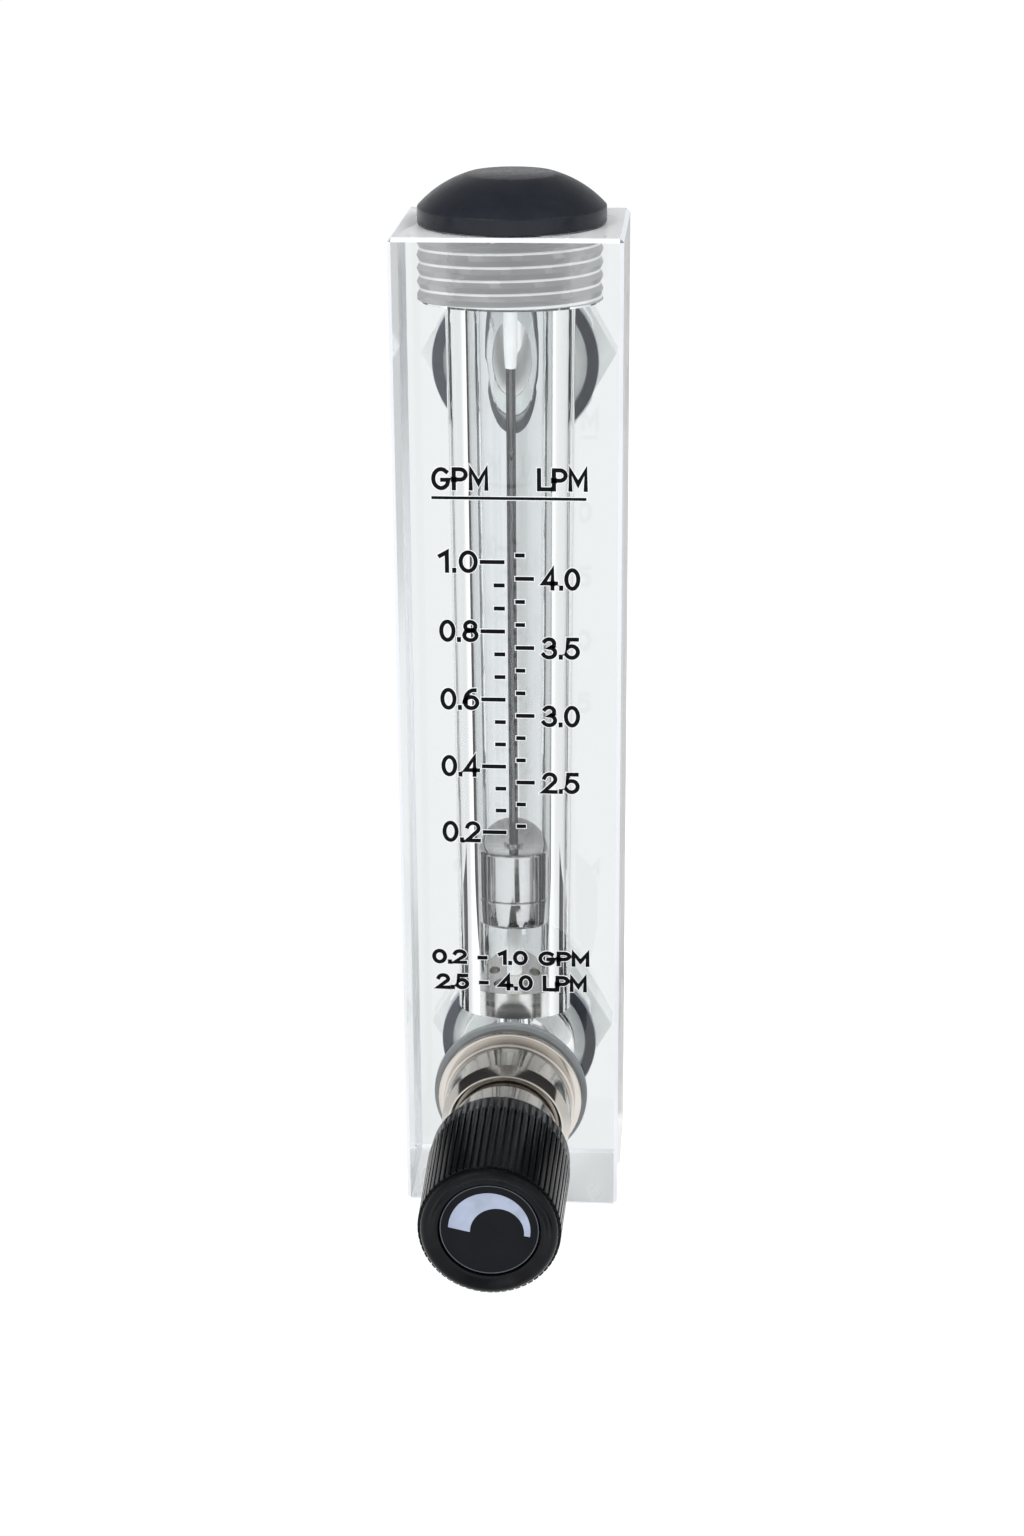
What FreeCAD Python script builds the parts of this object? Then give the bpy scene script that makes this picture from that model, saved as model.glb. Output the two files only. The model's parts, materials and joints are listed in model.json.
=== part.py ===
import FreeCAD, Part
import os
import re
import Sketcher
from FreeCAD import Placement, Rotation, Vector

# Panel rotameter: a clear acrylic block with a tapered bore, a float that slides on a guide rod,
# a needle valve on the front at the bottom, and two threaded connectors on the back.
#
# Frame: millimetres, +Z up, origin at the centre of the block's bottom face.
# The scale and the valve face -Y, the connectors +Y, +X is the viewer's right.
#
# Each turned piece is drawn along its own Z axis and placed by its Placement:
#   bore pieces   Z is the bore's axis, heights count from the bottom face
#   valve pieces  Z points out of the front face (-Y), heights count from that face
#   port pieces   Z points out of the rear face (+Y), heights count from that face

SIZES = {
    # block
    "block_width": 35.0,
    "block_depth": 30.0,
    "block_height": 160.0,
    "block_edge": 0.6,
    # metering bore: straight at the foot, then a slight taper up to the plug
    "bore_floor": 32.0,
    "bore_radius": 9.15,
    "taper_start": 46.0,
    "bore_top_radius": 9.9,
    "bore_top": 149.0,
    # top plug and its threaded hole
    "plug_hole_radius": 13.6,
    "plug_radius": 13.35,
    "plug_flange_radius": 14.1,
    "plug_flange_thick": 1.0,
    "plug_recess_radius": 14.3,
    "plug_recess_depth": 0.8,
    "plug_foot_gap": 0.6,
    "plug_socket_across": 6.0,
    "plug_socket_depth": 4.5,
    "plug_seal_radius": 12.0,
    "plug_seal_section": 0.9,
    "seal_groove_clear": 0.1,
    # dome cap
    "cap_radius": 14.4,
    "cap_wall_height": 2.7,
    "cap_height": 7.2,
    "cap_top_radius": 6.7,
    "cap_dome_radius": 17.0,
    "cap_wall": 1.6,
    "cap_edge": 0.3,
    "cap_peg_radius": 2.9,
    "cap_peg_length": 4.2,
    # guide rod and what it carries
    "rod_radius": 1.1,
    "rod_hole_radius": 1.15,
    "rod_foot": 33.7,
    "rod_top": 153.3,
    "seat_plate_radius": 9.1,
    "seat_plate_height": 4.5,
    "seat_recess_radius": 7.5,
    "seat_recess_depth": 1.0,
    "seat_hole_radius": 1.5,
    "seat_hole_circle": 5.4,
    "lower_stop_radius": 1.95,
    "lower_stop_top": 47.5,
    "upper_stop_radius": 1.6,
    "upper_stop_tip": 1.3,
    "upper_stop_foot": 138.0,
    "upper_stop_taper": 3.5,
    # float
    "float_radius": 8.75,
    "float_foot": 47.6,
    "float_joint": 52.3,
    "float_top": 60.6,
    "float_hole_radius": 1.2,
    "float_edge": 0.6,
    "float_seam": 0.15,
    "float_dish_radius": 7.4,
    "float_dish_depth": 1.1,
    "float_boss_radius": 2.4,
    "float_spigot_radius": 4.0,
    "float_spigot_length": 3.0,
    # needle valve, lengths from the front face
    "valve_height": 20.8,
    "valve_hole_radius": 8.0,
    "shank_radius": 7.9,
    "shank_length": 10.0,
    "chamber_radius": 5.8,
    "riser_radius": 2.9,
    "riser_offset": 1.9,
    "gasket_thick": 1.0,
    "gasket_radius": 12.5,
    "flange_radius": 11.7,
    "flange_front": 2.9,
    "flange_edge": 0.4,
    "collar_radius": 10.65,
    "collar_front": 4.6,
    "bonnet_radius": 10.3,
    "bonnet_shoulder": 11.2,
    "bonnet_nose_radius": 9.3,
    "bonnet_front": 13.4,
    "gland_thread_radius": 7.25,
    "gland_thread_clear": 0.05,
    "gland_radius": 8.55,
    "gland_back": 14.7,
    "gland_front": 21.6,
    "gland_edge": 0.35,
    "packing_radius": 5.0,
    "packing_back": 6.0,
    "packing_front": 9.0,
    "stem_radius": 2.5,
    "stem_screw_radius": 3.0,
    "stem_screw_front": 2.0,
    "stem_front": 40.0,
    "stem_fit": 0.05,
    "ring_land": 5.0,
    "ring_bore_radius": 4.05,
    "ring_centre": 9.0,
    "ring_radius": 3.12,
    "ring_section": 0.85,
    "ring_groove_radius": 2.1,
    "ring_groove_half": 0.95,
    "needle_shoulder": 12.0,
    "needle_base": 13.2,
    "needle_base_radius": 2.2,
    "needle_tip": 20.0,
    "needle_tip_radius": 0.5,
    "seat_front": 16.2,
    "seat_length": 3.0,
    "seat_radius": 4.45,
    "seat_orifice_radius": 1.5,
    "seat_flare_radius": 2.6,
    # knob, lengths from the front face
    "knob_back": 22.8,
    "knob_back_radius": 10.2,
    "knob_back_edge": 0.6,
    "knob_radius": 10.9,
    "rib_back": 27.0,
    "rib_front": 45.2,
    "rib_radius": 11.1,
    "rib_front_radius": 10.75,
    "rib_root_radius": 10.45,
    "rib_gap": 0.62,
    "rib_gap_foot": 0.2,
    "knob_rim_radius": 10.35,
    "knob_crest_radius": 9.3,
    "knob_front": 46.6,
    "knob_rim_round": 1.2,
    "knob_recess_radius": 7.75,
    "knob_recess_floor": 44.0,
    "knob_lip_radius": 8.2,
    "knob_lip": 45.6,
    "knob_hollow_radius": 9.0,
    "knob_hollow_depth": 6.0,
    "disc_radius": 7.6,
    "disc_front": 45.3,
    "disc_edge": 0.2,
    "screw_radius": 1.45,
    "screw_hole_radius": 1.5,
    "screw_station": 34.0,
    "screw_length": 5.0,
    "screw_socket_across": 1.5,
    "screw_socket_depth": 1.6,
    # ports, lengths from the rear face
    "outlet_height": 137.5,
    "port_hole_radius": 9.5,
    "port_hole_depth": 5.0,
    "port_shank_radius": 9.4,
    "port_shank_length": 4.8,
    "port_bore_radius": 6.2,
    "inlet_way_radius": 4.0,
    "port_gasket_radius": 13.1,
    "port_gasket_bore": 11.2,
    "port_flange_radius": 13.4,
    "port_flange_front": 4.0,
    "port_flat_half": 12.0,
    "panel_thread_radius": 11.5,
    "panel_thread_front": 15.0,
    "pipe_thread_radius": 10.45,
    "port_front": 26.0,
    "port_edge": 1.0,
    "nut_across": 27.0,
    "nut_back": 7.0,
    "nut_thick": 6.0,
    "nut_bore_radius": 11.6,
    "nut_face_radius": 12.9,
    "nut_chamfer": 1.2,
}

RIB_COUNT = 62
FLOW_HOLE_COUNT = 6
SEAL_SIDES = 8
FULL_TURN = 360.0
SAME_POINT = 1e-6
TO_FRONT = Rotation(Vector(1, 0, 0), 90)
TO_REAR = Rotation(Vector(1, 0, 0), -90)
UPRIGHT = Rotation()

doc = FreeCAD.newDocument("rotameter")
sub_parts = []


# ---------------------------------------------------------------- drawing helpers

def make_sheet():
    """Put every driving dimension in a spreadsheet cell under its own alias."""
    sheet = doc.addObject("Spreadsheet::Sheet", "Sizes")
    for row, (alias, value) in enumerate(SIZES.items(), start=1):
        sheet.set(f"A{row}", alias)
        sheet.set(f"B{row}", str(value))
        sheet.setAlias(f"B{row}", alias)
    doc.recompute()


def formula(text):
    """Turn plain aliases in a formula into references to the spreadsheet."""
    def refer(match):
        word = match.group(0)
        return f"Sizes.{word}" if word in SIZES else word
    return re.sub(r"[a-z_]+", refer, text)


def bind(item, **formulas):
    """Bind properties of an object to formulas in the sheet's aliases."""
    for name, text in formulas.items():
        item.setExpression(name, formula(text))


def origin_item(body, role):
    """Return the origin plane or axis of a body that has the given role."""
    for feature in body.Origin.OriginFeatures:
        if feature.Role == role:
            return feature
    raise ValueError(role)


def new_body(label, rotation=UPRIGHT, **base):
    """Start a sub-part; base gives formulas for the place of its own origin."""
    body = doc.addObject("PartDesign::Body", label)
    body.Label = label
    body.Placement = Placement(Vector(), rotation)
    for axis, text in base.items():
        body.setExpression(f"Placement.Base.{axis}", formula(text))
    sub_parts.append(body)
    return body


def number(item, text):
    """Value of a formula now, used only to start a sketch near its solution."""
    return float(item.evalExpression(formula(text)))


def constrain(sketch, text, kind, *where):
    """Add a constraint whose value is bound to a formula."""
    index = sketch.addConstraint(Sketcher.Constraint(kind, *where, number(sketch, text)))
    sketch.setExpression(f"Constraints[{index}]", formula(text))


def pin_down(sketch, edge, end, corner):
    """Fix one end of a sketch edge at a corner given by two formulas."""
    for kind, text, axis in zip(("DistanceX", "DistanceY"), corner, (-2, -1)):
        if text == "0":
            sketch.addConstraint(Sketcher.Constraint("PointOnObject", edge, end, axis))
        else:
            constrain(sketch, text, kind, -1, 1, edge, end)


def edge_between(start, stop, radius):
    """Line from start to stop, or an arc of that radius bulging to the right of the way."""
    if radius is None:
        return Part.LineSegment(start, stop)
    half = (stop - start).Length / 2
    rise = radius - (radius ** 2 - half ** 2) ** 0.5
    aside = Vector(stop.y - start.y, start.x - stop.x, 0).normalize()
    return Part.Arc(start, (start + stop) / 2 + aside * rise, stop)


def outline(body, name, role, corners, axis_ends=None):
    """Closed sketch through corners, each a pair of formulas (across, along).

    A third formula makes the edge that leaves that corner an arc of that radius, which
    bulges to the right of the way round. axis_ends adds a construction line to revolve about.
    """
    sketch = body.newObject("Sketcher::SketchObject", name)
    sketch.AttachmentSupport = [(origin_item(body, role), "")]
    sketch.MapMode = "FlatFace"
    places = [Vector(number(sketch, x), number(sketch, y), 0) for x, y, *_ in corners]
    ends = []
    for corner, start, stop in zip(corners, places, places[1:] + places[:1]):
        radius = number(sketch, corner[2]) if len(corner) == 3 else None
        edge = sketch.addGeometry(edge_between(start, stop, radius), False)
        leaves = 1 if sketch.getPoint(edge, 1).distanceToPoint(start) < SAME_POINT else 2
        ends.append((edge, leaves, 3 - leaves))
    for corner, here, before in zip(corners, ends, ends[-1:] + ends[:-1]):
        edge, leaves, _ = here
        sketch.addConstraint(Sketcher.Constraint("Coincident", before[0], before[2], edge, leaves))
        pin_down(sketch, edge, leaves, corner)
        if len(corner) == 3:
            constrain(sketch, corner[2], "Radius", edge)
    if axis_ends:
        start, stop = [Vector(number(sketch, x), number(sketch, y), 0) for x, y in axis_ends]
        line = sketch.addGeometry(Part.LineSegment(start, stop), True)
        for end, corner in enumerate(axis_ends, start=1):
            pin_down(sketch, line, end, corner)
    return sketch


def revolve(body, kind, name, sketch, axis):
    """Revolution or Groove of a sketch about one of its own axes."""
    turn = body.newObject(f"PartDesign::{kind}", name)
    turn.Profile = sketch
    turn.ReferenceAxis = (sketch, [axis])
    turn.Angle = FULL_TURN
    doc.recompute()
    return turn


def turned(label, corners, rotation=UPRIGHT, **base):
    """Body of revolution about its own Z; corners are (radius, height) formulas."""
    body = new_body(label, rotation, **base)
    sketch = outline(body, f"{label}_profile", "XZ_Plane", corners)
    revolve(body, "Revolution", f"{label}_turn", sketch, "V_Axis")
    return body


def turn_groove(body, name, corners):
    """Cut a turned hollow about the body's own Z."""
    sketch = outline(body, name, "XZ_Plane", corners)
    return revolve(body, "Groove", f"{name}_cut", sketch, "V_Axis")


def primitive(body, kind, name, offset=None, rotation=UPRIGHT, **sizes):
    """PartDesign primitive placed in the body; offset and sizes are formulas."""
    item = body.newObject(f"PartDesign::{kind}", name)
    item.AttachmentSupport = [(origin_item(body, "XY_Plane"), "")]
    item.MapMode = "FlatFace"
    item.AttachmentOffset = Placement(Vector(), rotation)
    for axis, text in (offset or {}).items():
        item.setExpression(f"AttachmentOffset.Base.{axis}", formula(text))
    bind(item, **sizes)
    doc.recompute()
    return item


def repeat_round(body, feature, count):
    """Repeat a feature round the body's own Z."""
    pattern = body.newObject("PartDesign::PolarPattern", f"{feature.Label}_round")
    pattern.Originals = [feature]
    pattern.Axis = (origin_item(body, "Z_Axis"), [""])
    pattern.Angle = FULL_TURN
    pattern.Occurrences = count
    body.Tip = pattern
    doc.recompute()


def dress(body, kind, name, chosen, text):
    """Fillet or Chamfer on the edges of the body's tip that chosen picks."""
    tip = body.Tip
    names = [f"Edge{i}" for i, edge in enumerate(tip.Shape.Edges, start=1) if chosen(edge)]
    item = body.newObject(f"PartDesign::{kind}", name)
    item.Base = (tip, names)
    bind(item, **{"Radius" if kind == "Fillet" else "Size": text})
    doc.recompute()


def valve_turned(label, corners):
    """Turned piece on the valve's axis, heights counted from the front face outwards."""
    return turned(label, corners, TO_FRONT, y="-block_depth / 2", z="valve_height")


def port_turned(label, height, corners):
    """Turned piece on a port's axis, heights counted from the rear face outwards."""
    return turned(label, corners, TO_REAR, y="block_depth / 2", z=height)


def ring_of(label, bore, radius, back, front, place=turned, *first):
    """Plain turned ring between two radii and two heights."""
    corners = [(bore, back), (radius, back), (radius, front), (bore, front)]
    return place(label, *first, corners)


def seal_ring(label, ring, section, rotation=UPRIGHT, **base):
    """O-ring turned about the body's own Z, its round section drawn as an octagon."""
    half_side = FULL_TURN / SEAL_SIDES / 2
    reach = f"{section} / cos({half_side})"
    corners = []
    for side in range(SEAL_SIDES):
        angle = (2 * side + 1) * half_side
        corners.append((f"{ring} + {reach} * cos({angle})", f"{reach} * sin({angle})"))
    turned(label, corners, rotation, **base)


def across_flats(text):
    """Formula for the corner radius of a hexagon whose size across flats is given."""
    return f"{text} / 2 / cos(30)"


# ---------------------------------------------------------------- block

def make_block():
    """Clear block: bore and plug thread from the top, valve and ports across it."""
    body = new_body("block")
    slab = outline(body, "block_plan", "XY_Plane", [
        ("-block_width / 2", "-block_depth / 2"),
        ("block_width / 2", "-block_depth / 2"),
        ("block_width / 2", "block_depth / 2"),
        ("-block_width / 2", "block_depth / 2"),
    ])
    pad = body.newObject("PartDesign::Pad", "block_pad")
    pad.Profile = slab
    bind(pad, Length="block_height")
    doc.recompute()
    dress(body, "Chamfer", "block_edges", lambda edge: True, "block_edge")

    turn_groove(body, "bore", [
        ("0", "bore_floor"),
        ("bore_radius", "bore_floor"),
        ("bore_radius", "taper_start"),
        ("bore_top_radius", "bore_top"),
        ("plug_hole_radius", "bore_top"),
        ("plug_hole_radius", "block_height - plug_recess_depth"),
        ("plug_recess_radius", "block_height - plug_recess_depth"),
        ("plug_recess_radius", "block_height"),
        ("0", "block_height"),
    ])

    rear = "block_depth / 2"
    front = "-block_depth / 2"
    seat_front = "seat_front - block_depth / 2"
    valve_way = outline(body, "valve_way", "YZ_Plane", [
        (front, "valve_height"),
        (front, "valve_height + valve_hole_radius"),
        ("shank_length - block_depth / 2", "valve_height + valve_hole_radius"),
        ("shank_length - block_depth / 2", "valve_height + chamber_radius"),
        (seat_front, "valve_height + chamber_radius"),
        (seat_front, "valve_height + seat_radius"),
        (f"{seat_front} + seat_length", "valve_height + seat_radius"),
        (f"{seat_front} + seat_length", "valve_height + inlet_way_radius"),
        (f"{rear} - port_hole_depth", "valve_height + inlet_way_radius"),
        (f"{rear} - port_hole_depth", "valve_height + port_hole_radius"),
        (rear, "valve_height + port_hole_radius"),
        (rear, "valve_height"),
    ], axis_ends=((front, "valve_height"), (rear, "valve_height")))
    revolve(body, "Groove", "valve_way_cut", valve_way, "Axis0")

    outlet_way = outline(body, "outlet_way", "YZ_Plane", [
        ("0", "outlet_height"),
        ("0", "outlet_height + port_bore_radius"),
        (f"{rear} - port_hole_depth", "outlet_height + port_bore_radius"),
        (f"{rear} - port_hole_depth", "outlet_height + port_hole_radius"),
        (rear, "outlet_height + port_hole_radius"),
        (rear, "outlet_height"),
    ], axis_ends=(("0", "outlet_height"), (rear, "outlet_height")))
    revolve(body, "Groove", "outlet_way_cut", outlet_way, "Axis0")

    primitive(body, "SubtractiveCylinder", "riser", {"y": "-riser_offset", "z": "valve_height"},
              Radius="riser_radius", Height="bore_floor - valve_height + block_edge")


# ---------------------------------------------------------------- top closure

def make_top_plug():
    """Clear screwed plug: flange on top, seal groove underneath, hex socket and rod hole."""
    foot = "bore_top + plug_foot_gap"
    groove_top = "bore_top + 2 * plug_seal_section"
    groove_inside = "plug_seal_radius - plug_seal_section - seal_groove_clear"
    groove_outside = "plug_seal_radius + plug_seal_section + seal_groove_clear"
    shoulder = "block_height - plug_recess_depth"
    top = f"{shoulder} + plug_flange_thick"
    rod_end = "rod_top + block_edge"
    body = turned("top_plug", [
        ("rod_hole_radius", foot),
        (groove_inside, foot),
        (groove_inside, groove_top),
        (groove_outside, groove_top),
        (groove_outside, foot),
        ("plug_radius", foot),
        ("plug_radius", shoulder),
        ("plug_flange_radius", shoulder),
        ("plug_flange_radius", top),
        ("0", top),
        ("0", rod_end),
        ("rod_hole_radius", rod_end),
    ])
    primitive(body, "SubtractivePrism", "drive_socket", {"z": f"{top} - plug_socket_depth"},
              Circumradius=across_flats("plug_socket_across"), Height="plug_socket_depth")


def make_dome_cap():
    """Moulded cap: low wall, crowned dome with a flat top, hollow, with a peg for the socket."""
    base = "block_height - plug_recess_depth + plug_flange_thick"
    wall_top = f"{base} + cap_wall_height"
    top = f"{base} + cap_height"
    turned("dome_cap", [
        ("cap_radius", base),
        ("cap_radius", f"{wall_top} - cap_edge"),
        ("cap_radius - cap_edge", wall_top, "cap_dome_radius"),
        ("cap_top_radius", top),
        ("0", top),
        ("0", f"{base} - cap_peg_length"),
        ("cap_peg_radius", f"{base} - cap_peg_length"),
        ("cap_peg_radius", f"{top} - cap_wall"),
        ("cap_top_radius - cap_wall / 2", f"{top} - cap_wall"),
        ("cap_radius - cap_wall", f"{wall_top} - cap_edge"),
        ("cap_radius - cap_wall", base),
    ])


# ---------------------------------------------------------------- guide rod and float

def make_guide():
    """Steel rod, the drilled plate that holds its foot, and the two stops on it."""
    turned("guide_rod", [
        ("0", "rod_foot"),
        ("rod_radius", "rod_foot"),
        ("rod_radius", "rod_top"),
        ("0", "rod_top"),
    ])
    plate_top = "bore_floor + seat_plate_height"
    plate = turned("rod_seat", [
        ("0", "bore_floor + seat_recess_depth"),
        ("seat_recess_radius", "bore_floor + seat_recess_depth"),
        ("seat_recess_radius", "bore_floor"),
        ("seat_plate_radius", "bore_floor"),
        ("seat_plate_radius", plate_top),
        ("rod_hole_radius", plate_top),
        ("rod_hole_radius", "rod_foot"),
        ("0", "rod_foot"),
    ])
    hole = primitive(plate, "SubtractiveCylinder", "flow_hole",
                     {"x": "seat_hole_circle", "z": "bore_floor"},
                     Radius="seat_hole_radius", Height="seat_plate_height")
    repeat_round(plate, hole, FLOW_HOLE_COUNT)
    ring_of("lower_stop", "rod_hole_radius", "lower_stop_radius", plate_top, "lower_stop_top")
    turned("upper_stop", [
        ("rod_hole_radius", "upper_stop_foot"),
        ("upper_stop_tip", "upper_stop_foot"),
        ("upper_stop_radius", "upper_stop_foot + upper_stop_taper"),
        ("upper_stop_radius", "bore_top + plug_foot_gap"),
        ("rod_hole_radius", "bore_top + plug_foot_gap"),
    ])


def make_float():
    """Steel float turned in two pieces: a dished body and a base with a spigot in it."""
    turned("float_base", [
        ("float_hole_radius", "float_foot"),
        ("float_radius - float_edge", "float_foot"),
        ("float_radius", "float_foot + float_edge"),
        ("float_radius", "float_joint - float_seam"),
        ("float_radius - float_seam", "float_joint"),
        ("float_spigot_radius", "float_joint"),
        ("float_spigot_radius", "float_joint + float_spigot_length"),
        ("float_hole_radius", "float_joint + float_spigot_length"),
    ])
    turned("float_body", [
        ("float_hole_radius", "float_joint + float_spigot_length"),
        ("float_spigot_radius", "float_joint + float_spigot_length"),
        ("float_spigot_radius", "float_joint"),
        ("float_radius - float_seam", "float_joint"),
        ("float_radius", "float_joint + float_seam"),
        ("float_radius", "float_top - float_edge / 2"),
        ("float_radius - float_edge / 2", "float_top"),
        ("float_dish_radius", "float_top"),
        ("float_boss_radius", "float_top - float_dish_depth"),
        ("float_boss_radius", "float_top - float_edge"),
        ("float_hole_radius", "float_top - float_edge"),
    ])


# ---------------------------------------------------------------- needle valve

def make_bonnet():
    """Nickelled bonnet: screwed shank, flange, stepped body and the bores for the stem."""
    valve_turned("valve_bonnet", [
        ("ring_bore_radius", "-shank_length"),
        ("shank_radius", "-shank_length"),
        ("shank_radius", "gasket_thick"),
        ("flange_radius - flange_edge", "gasket_thick"),
        ("flange_radius", "gasket_thick + flange_edge"),
        ("flange_radius", "flange_front - flange_edge"),
        ("flange_radius - flange_edge", "flange_front"),
        ("collar_radius", "flange_front"),
        ("collar_radius", "collar_front - gland_edge"),
        ("bonnet_radius", "collar_front"),
        ("bonnet_radius", "bonnet_shoulder"),
        ("bonnet_nose_radius", "bonnet_front"),
        ("gland_thread_radius + gland_thread_clear", "bonnet_front"),
        ("gland_thread_radius + gland_thread_clear", "packing_front"),
        ("packing_radius", "packing_front"),
        ("packing_radius", "packing_back"),
        ("stem_screw_radius + stem_fit", "packing_back"),
        ("stem_screw_radius + stem_fit", "-ring_land"),
        ("ring_bore_radius", "-ring_land"),
    ])
    ring_of("bonnet_gasket", "shank_radius", "gasket_radius", "0", "gasket_thick", valve_turned)


def make_gland():
    """Gland nut with its screwed nose, and the packing that it presses on the stem."""
    bore = "stem_radius + 2 * stem_fit"
    valve_turned("gland_nut", [
        (bore, "packing_front"),
        ("gland_thread_radius", "packing_front"),
        ("gland_thread_radius", "gland_back"),
        ("gland_radius - gland_edge", "gland_back"),
        ("gland_radius", "gland_back + gland_edge"),
        ("gland_radius", "gland_front - gland_edge"),
        ("gland_radius - gland_edge", "gland_front"),
        (bore, "gland_front"),
    ])
    ring_of("gland_packing", "stem_radius + stem_fit", "packing_radius", "packing_back",
            "packing_front", valve_turned)


def make_seat():
    """Seat ring pressed in the block; its flare faces the inlet."""
    back = "-seat_front - seat_length"
    valve_turned("valve_seat", [
        ("seat_flare_radius", back),
        ("seat_radius", back),
        ("seat_radius", "-seat_front"),
        ("seat_orifice_radius", "-seat_front"),
        ("seat_orifice_radius", "-seat_front - seat_length / 2"),
    ])


def make_stem():
    """Valve stem: needle, seal groove, screw and the plain shaft that carries the knob."""
    lip = "stem_screw_radius"
    groove_back = "-ring_centre - ring_groove_half"
    groove_front = "-ring_centre + ring_groove_half"
    valve_turned("valve_stem", [
        ("0", "-needle_tip"),
        ("needle_tip_radius", "-needle_tip"),
        ("needle_base_radius", "-needle_base"),
        (lip, "-needle_shoulder"),
        (lip, groove_back),
        ("ring_groove_radius", groove_back),
        ("ring_groove_radius", groove_front),
        (lip, groove_front),
        (lip, "stem_screw_front"),
        ("stem_radius", "stem_screw_front"),
        ("stem_radius", "stem_front"),
        ("0", "stem_front"),
    ])
    seal_ring("stem_oring", "ring_radius", "ring_section", TO_FRONT,
              y="ring_centre - block_depth / 2", z="valve_height")


def make_knob():
    """Ribbed knob with a rounded rim, a hollow back, its face disc and its set screw."""
    floor = "knob_back + knob_hollow_depth"
    bore = "stem_radius + stem_fit"
    body = valve_turned("knob", [
        ("knob_hollow_radius", "knob_back"),
        ("knob_back_radius", "knob_back"),
        ("knob_radius", "knob_back + knob_back_edge"),
        ("knob_radius", "rib_back"),
        ("rib_radius", "rib_back"),
        ("rib_front_radius", "rib_front"),
        ("knob_rim_radius", "rib_front"),
        ("knob_rim_radius", "knob_front - knob_rim_round", "knob_rim_round"),
        ("knob_crest_radius", "knob_front"),
        ("knob_lip_radius", "knob_lip"),
        ("knob_recess_radius", "knob_lip"),
        ("knob_recess_radius", "knob_recess_floor"),
        ("0", "knob_recess_floor"),
        ("0", "stem_front"),
        (bore, "stem_front"),
        (bore, floor),
        ("knob_hollow_radius", floor),
    ])
    groove = outline(body, "rib_groove", "XY_Plane", [
        ("rib_root_radius", "-rib_gap_foot / 2"),
        ("rib_radius + knob_back_edge", "-rib_gap / 2"),
        ("rib_radius + knob_back_edge", "rib_gap / 2"),
        ("rib_root_radius", "rib_gap_foot / 2"),
    ])
    groove.setExpression("AttachmentOffset.Base.z", formula("rib_back"))
    pocket = body.newObject("PartDesign::Pocket", "rib_pocket")
    pocket.Profile = groove
    pocket.Reversed = True
    bind(pocket, Length="rib_front - rib_back + block_edge")
    doc.recompute()
    repeat_round(body, pocket, RIB_COUNT)
    primitive(body, "SubtractiveCylinder", "screw_hole", {"z": "screw_station"},
              Rotation(Vector(1, 0, 0), 90), Radius="screw_hole_radius",
              Height="rib_radius + knob_back_edge")

    turned("knob_disc", [
        ("0", "knob_recess_floor"),
        ("disc_radius", "knob_recess_floor"),
        ("disc_radius", "disc_front - disc_edge"),
        ("disc_radius - disc_edge", "disc_front"),
        ("0", "disc_front"),
    ], TO_FRONT, y="-block_depth / 2", z="valve_height")

    screw = turned("set_screw", [
        ("0", "stem_radius"),
        ("screw_radius / 2", "stem_radius"),
        ("screw_radius", "stem_radius + screw_radius / 2"),
        ("screw_radius", "stem_radius + screw_length"),
        ("0", "stem_radius + screw_length"),
    ], Rotation(Vector(1, 0, 0), 180), y="-block_depth / 2 - screw_station", z="valve_height")
    primitive(screw, "SubtractivePrism", "screw_socket",
              {"z": "stem_radius + screw_length - screw_socket_depth"},
              Circumradius=across_flats("screw_socket_across"), Height="screw_socket_depth")


# ---------------------------------------------------------------- ports

def make_port(name, height):
    """One rear port: gasket, moulded connector with two spanner flats, and its panel nut."""
    ring_of(f"{name}_gasket", "port_gasket_bore", "port_gasket_radius", "0", "gasket_thick",
            port_turned, height)
    connector = port_turned(f"{name}_connector", height, [
        ("0", "-port_shank_length"),
        ("port_shank_radius", "-port_shank_length"),
        ("port_shank_radius", "gasket_thick"),
        ("port_flange_radius", "gasket_thick"),
        ("port_flange_radius", "port_flange_front - flange_edge"),
        ("port_flange_radius - flange_edge", "port_flange_front"),
        ("panel_thread_radius", "port_flange_front"),
        ("panel_thread_radius", "panel_thread_front"),
        ("pipe_thread_radius", "panel_thread_front"),
        ("pipe_thread_radius", "port_front - port_edge"),
        ("pipe_thread_radius - port_edge", "port_front"),
        ("0", "port_front"),
    ])
    flat = primitive(connector, "SubtractiveBox", f"{name}_flat",
                     {"x": "port_flat_half", "y": "-port_flange_radius", "z": "gasket_thick"},
                     Length="port_edge + port_flange_radius - port_flat_half",
                     Width="2 * port_flange_radius",
                     Height="port_flange_front - gasket_thick")
    repeat_round(connector, flat, 2)
    primitive(connector, "SubtractiveCylinder", f"{name}_way", {"z": "-port_shank_length"},
              Radius="port_bore_radius", Height="port_shank_length + port_front")

    nut = new_body(f"{name}_nut", TO_REAR, y="block_depth / 2", z=height)
    primitive(nut, "AdditivePrism", f"{name}_nut_hex", {"z": "nut_back"},
              Circumradius=across_flats("nut_across"), Height="nut_thick")
    nut_front = "nut_back + nut_thick"
    corner = f"{across_flats('nut_across')} + block_edge"
    turn_groove(nut, f"{name}_nut_bevel", [
        ("nut_face_radius", nut_front),
        (corner, f"{nut_front} - nut_chamfer"),
        (corner, nut_front),
    ])
    primitive(nut, "SubtractiveCylinder", f"{name}_nut_bore", {"z": "nut_back"},
              Radius="nut_bore_radius", Height="nut_thick")


# ---------------------------------------------------------------- build and write

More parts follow.
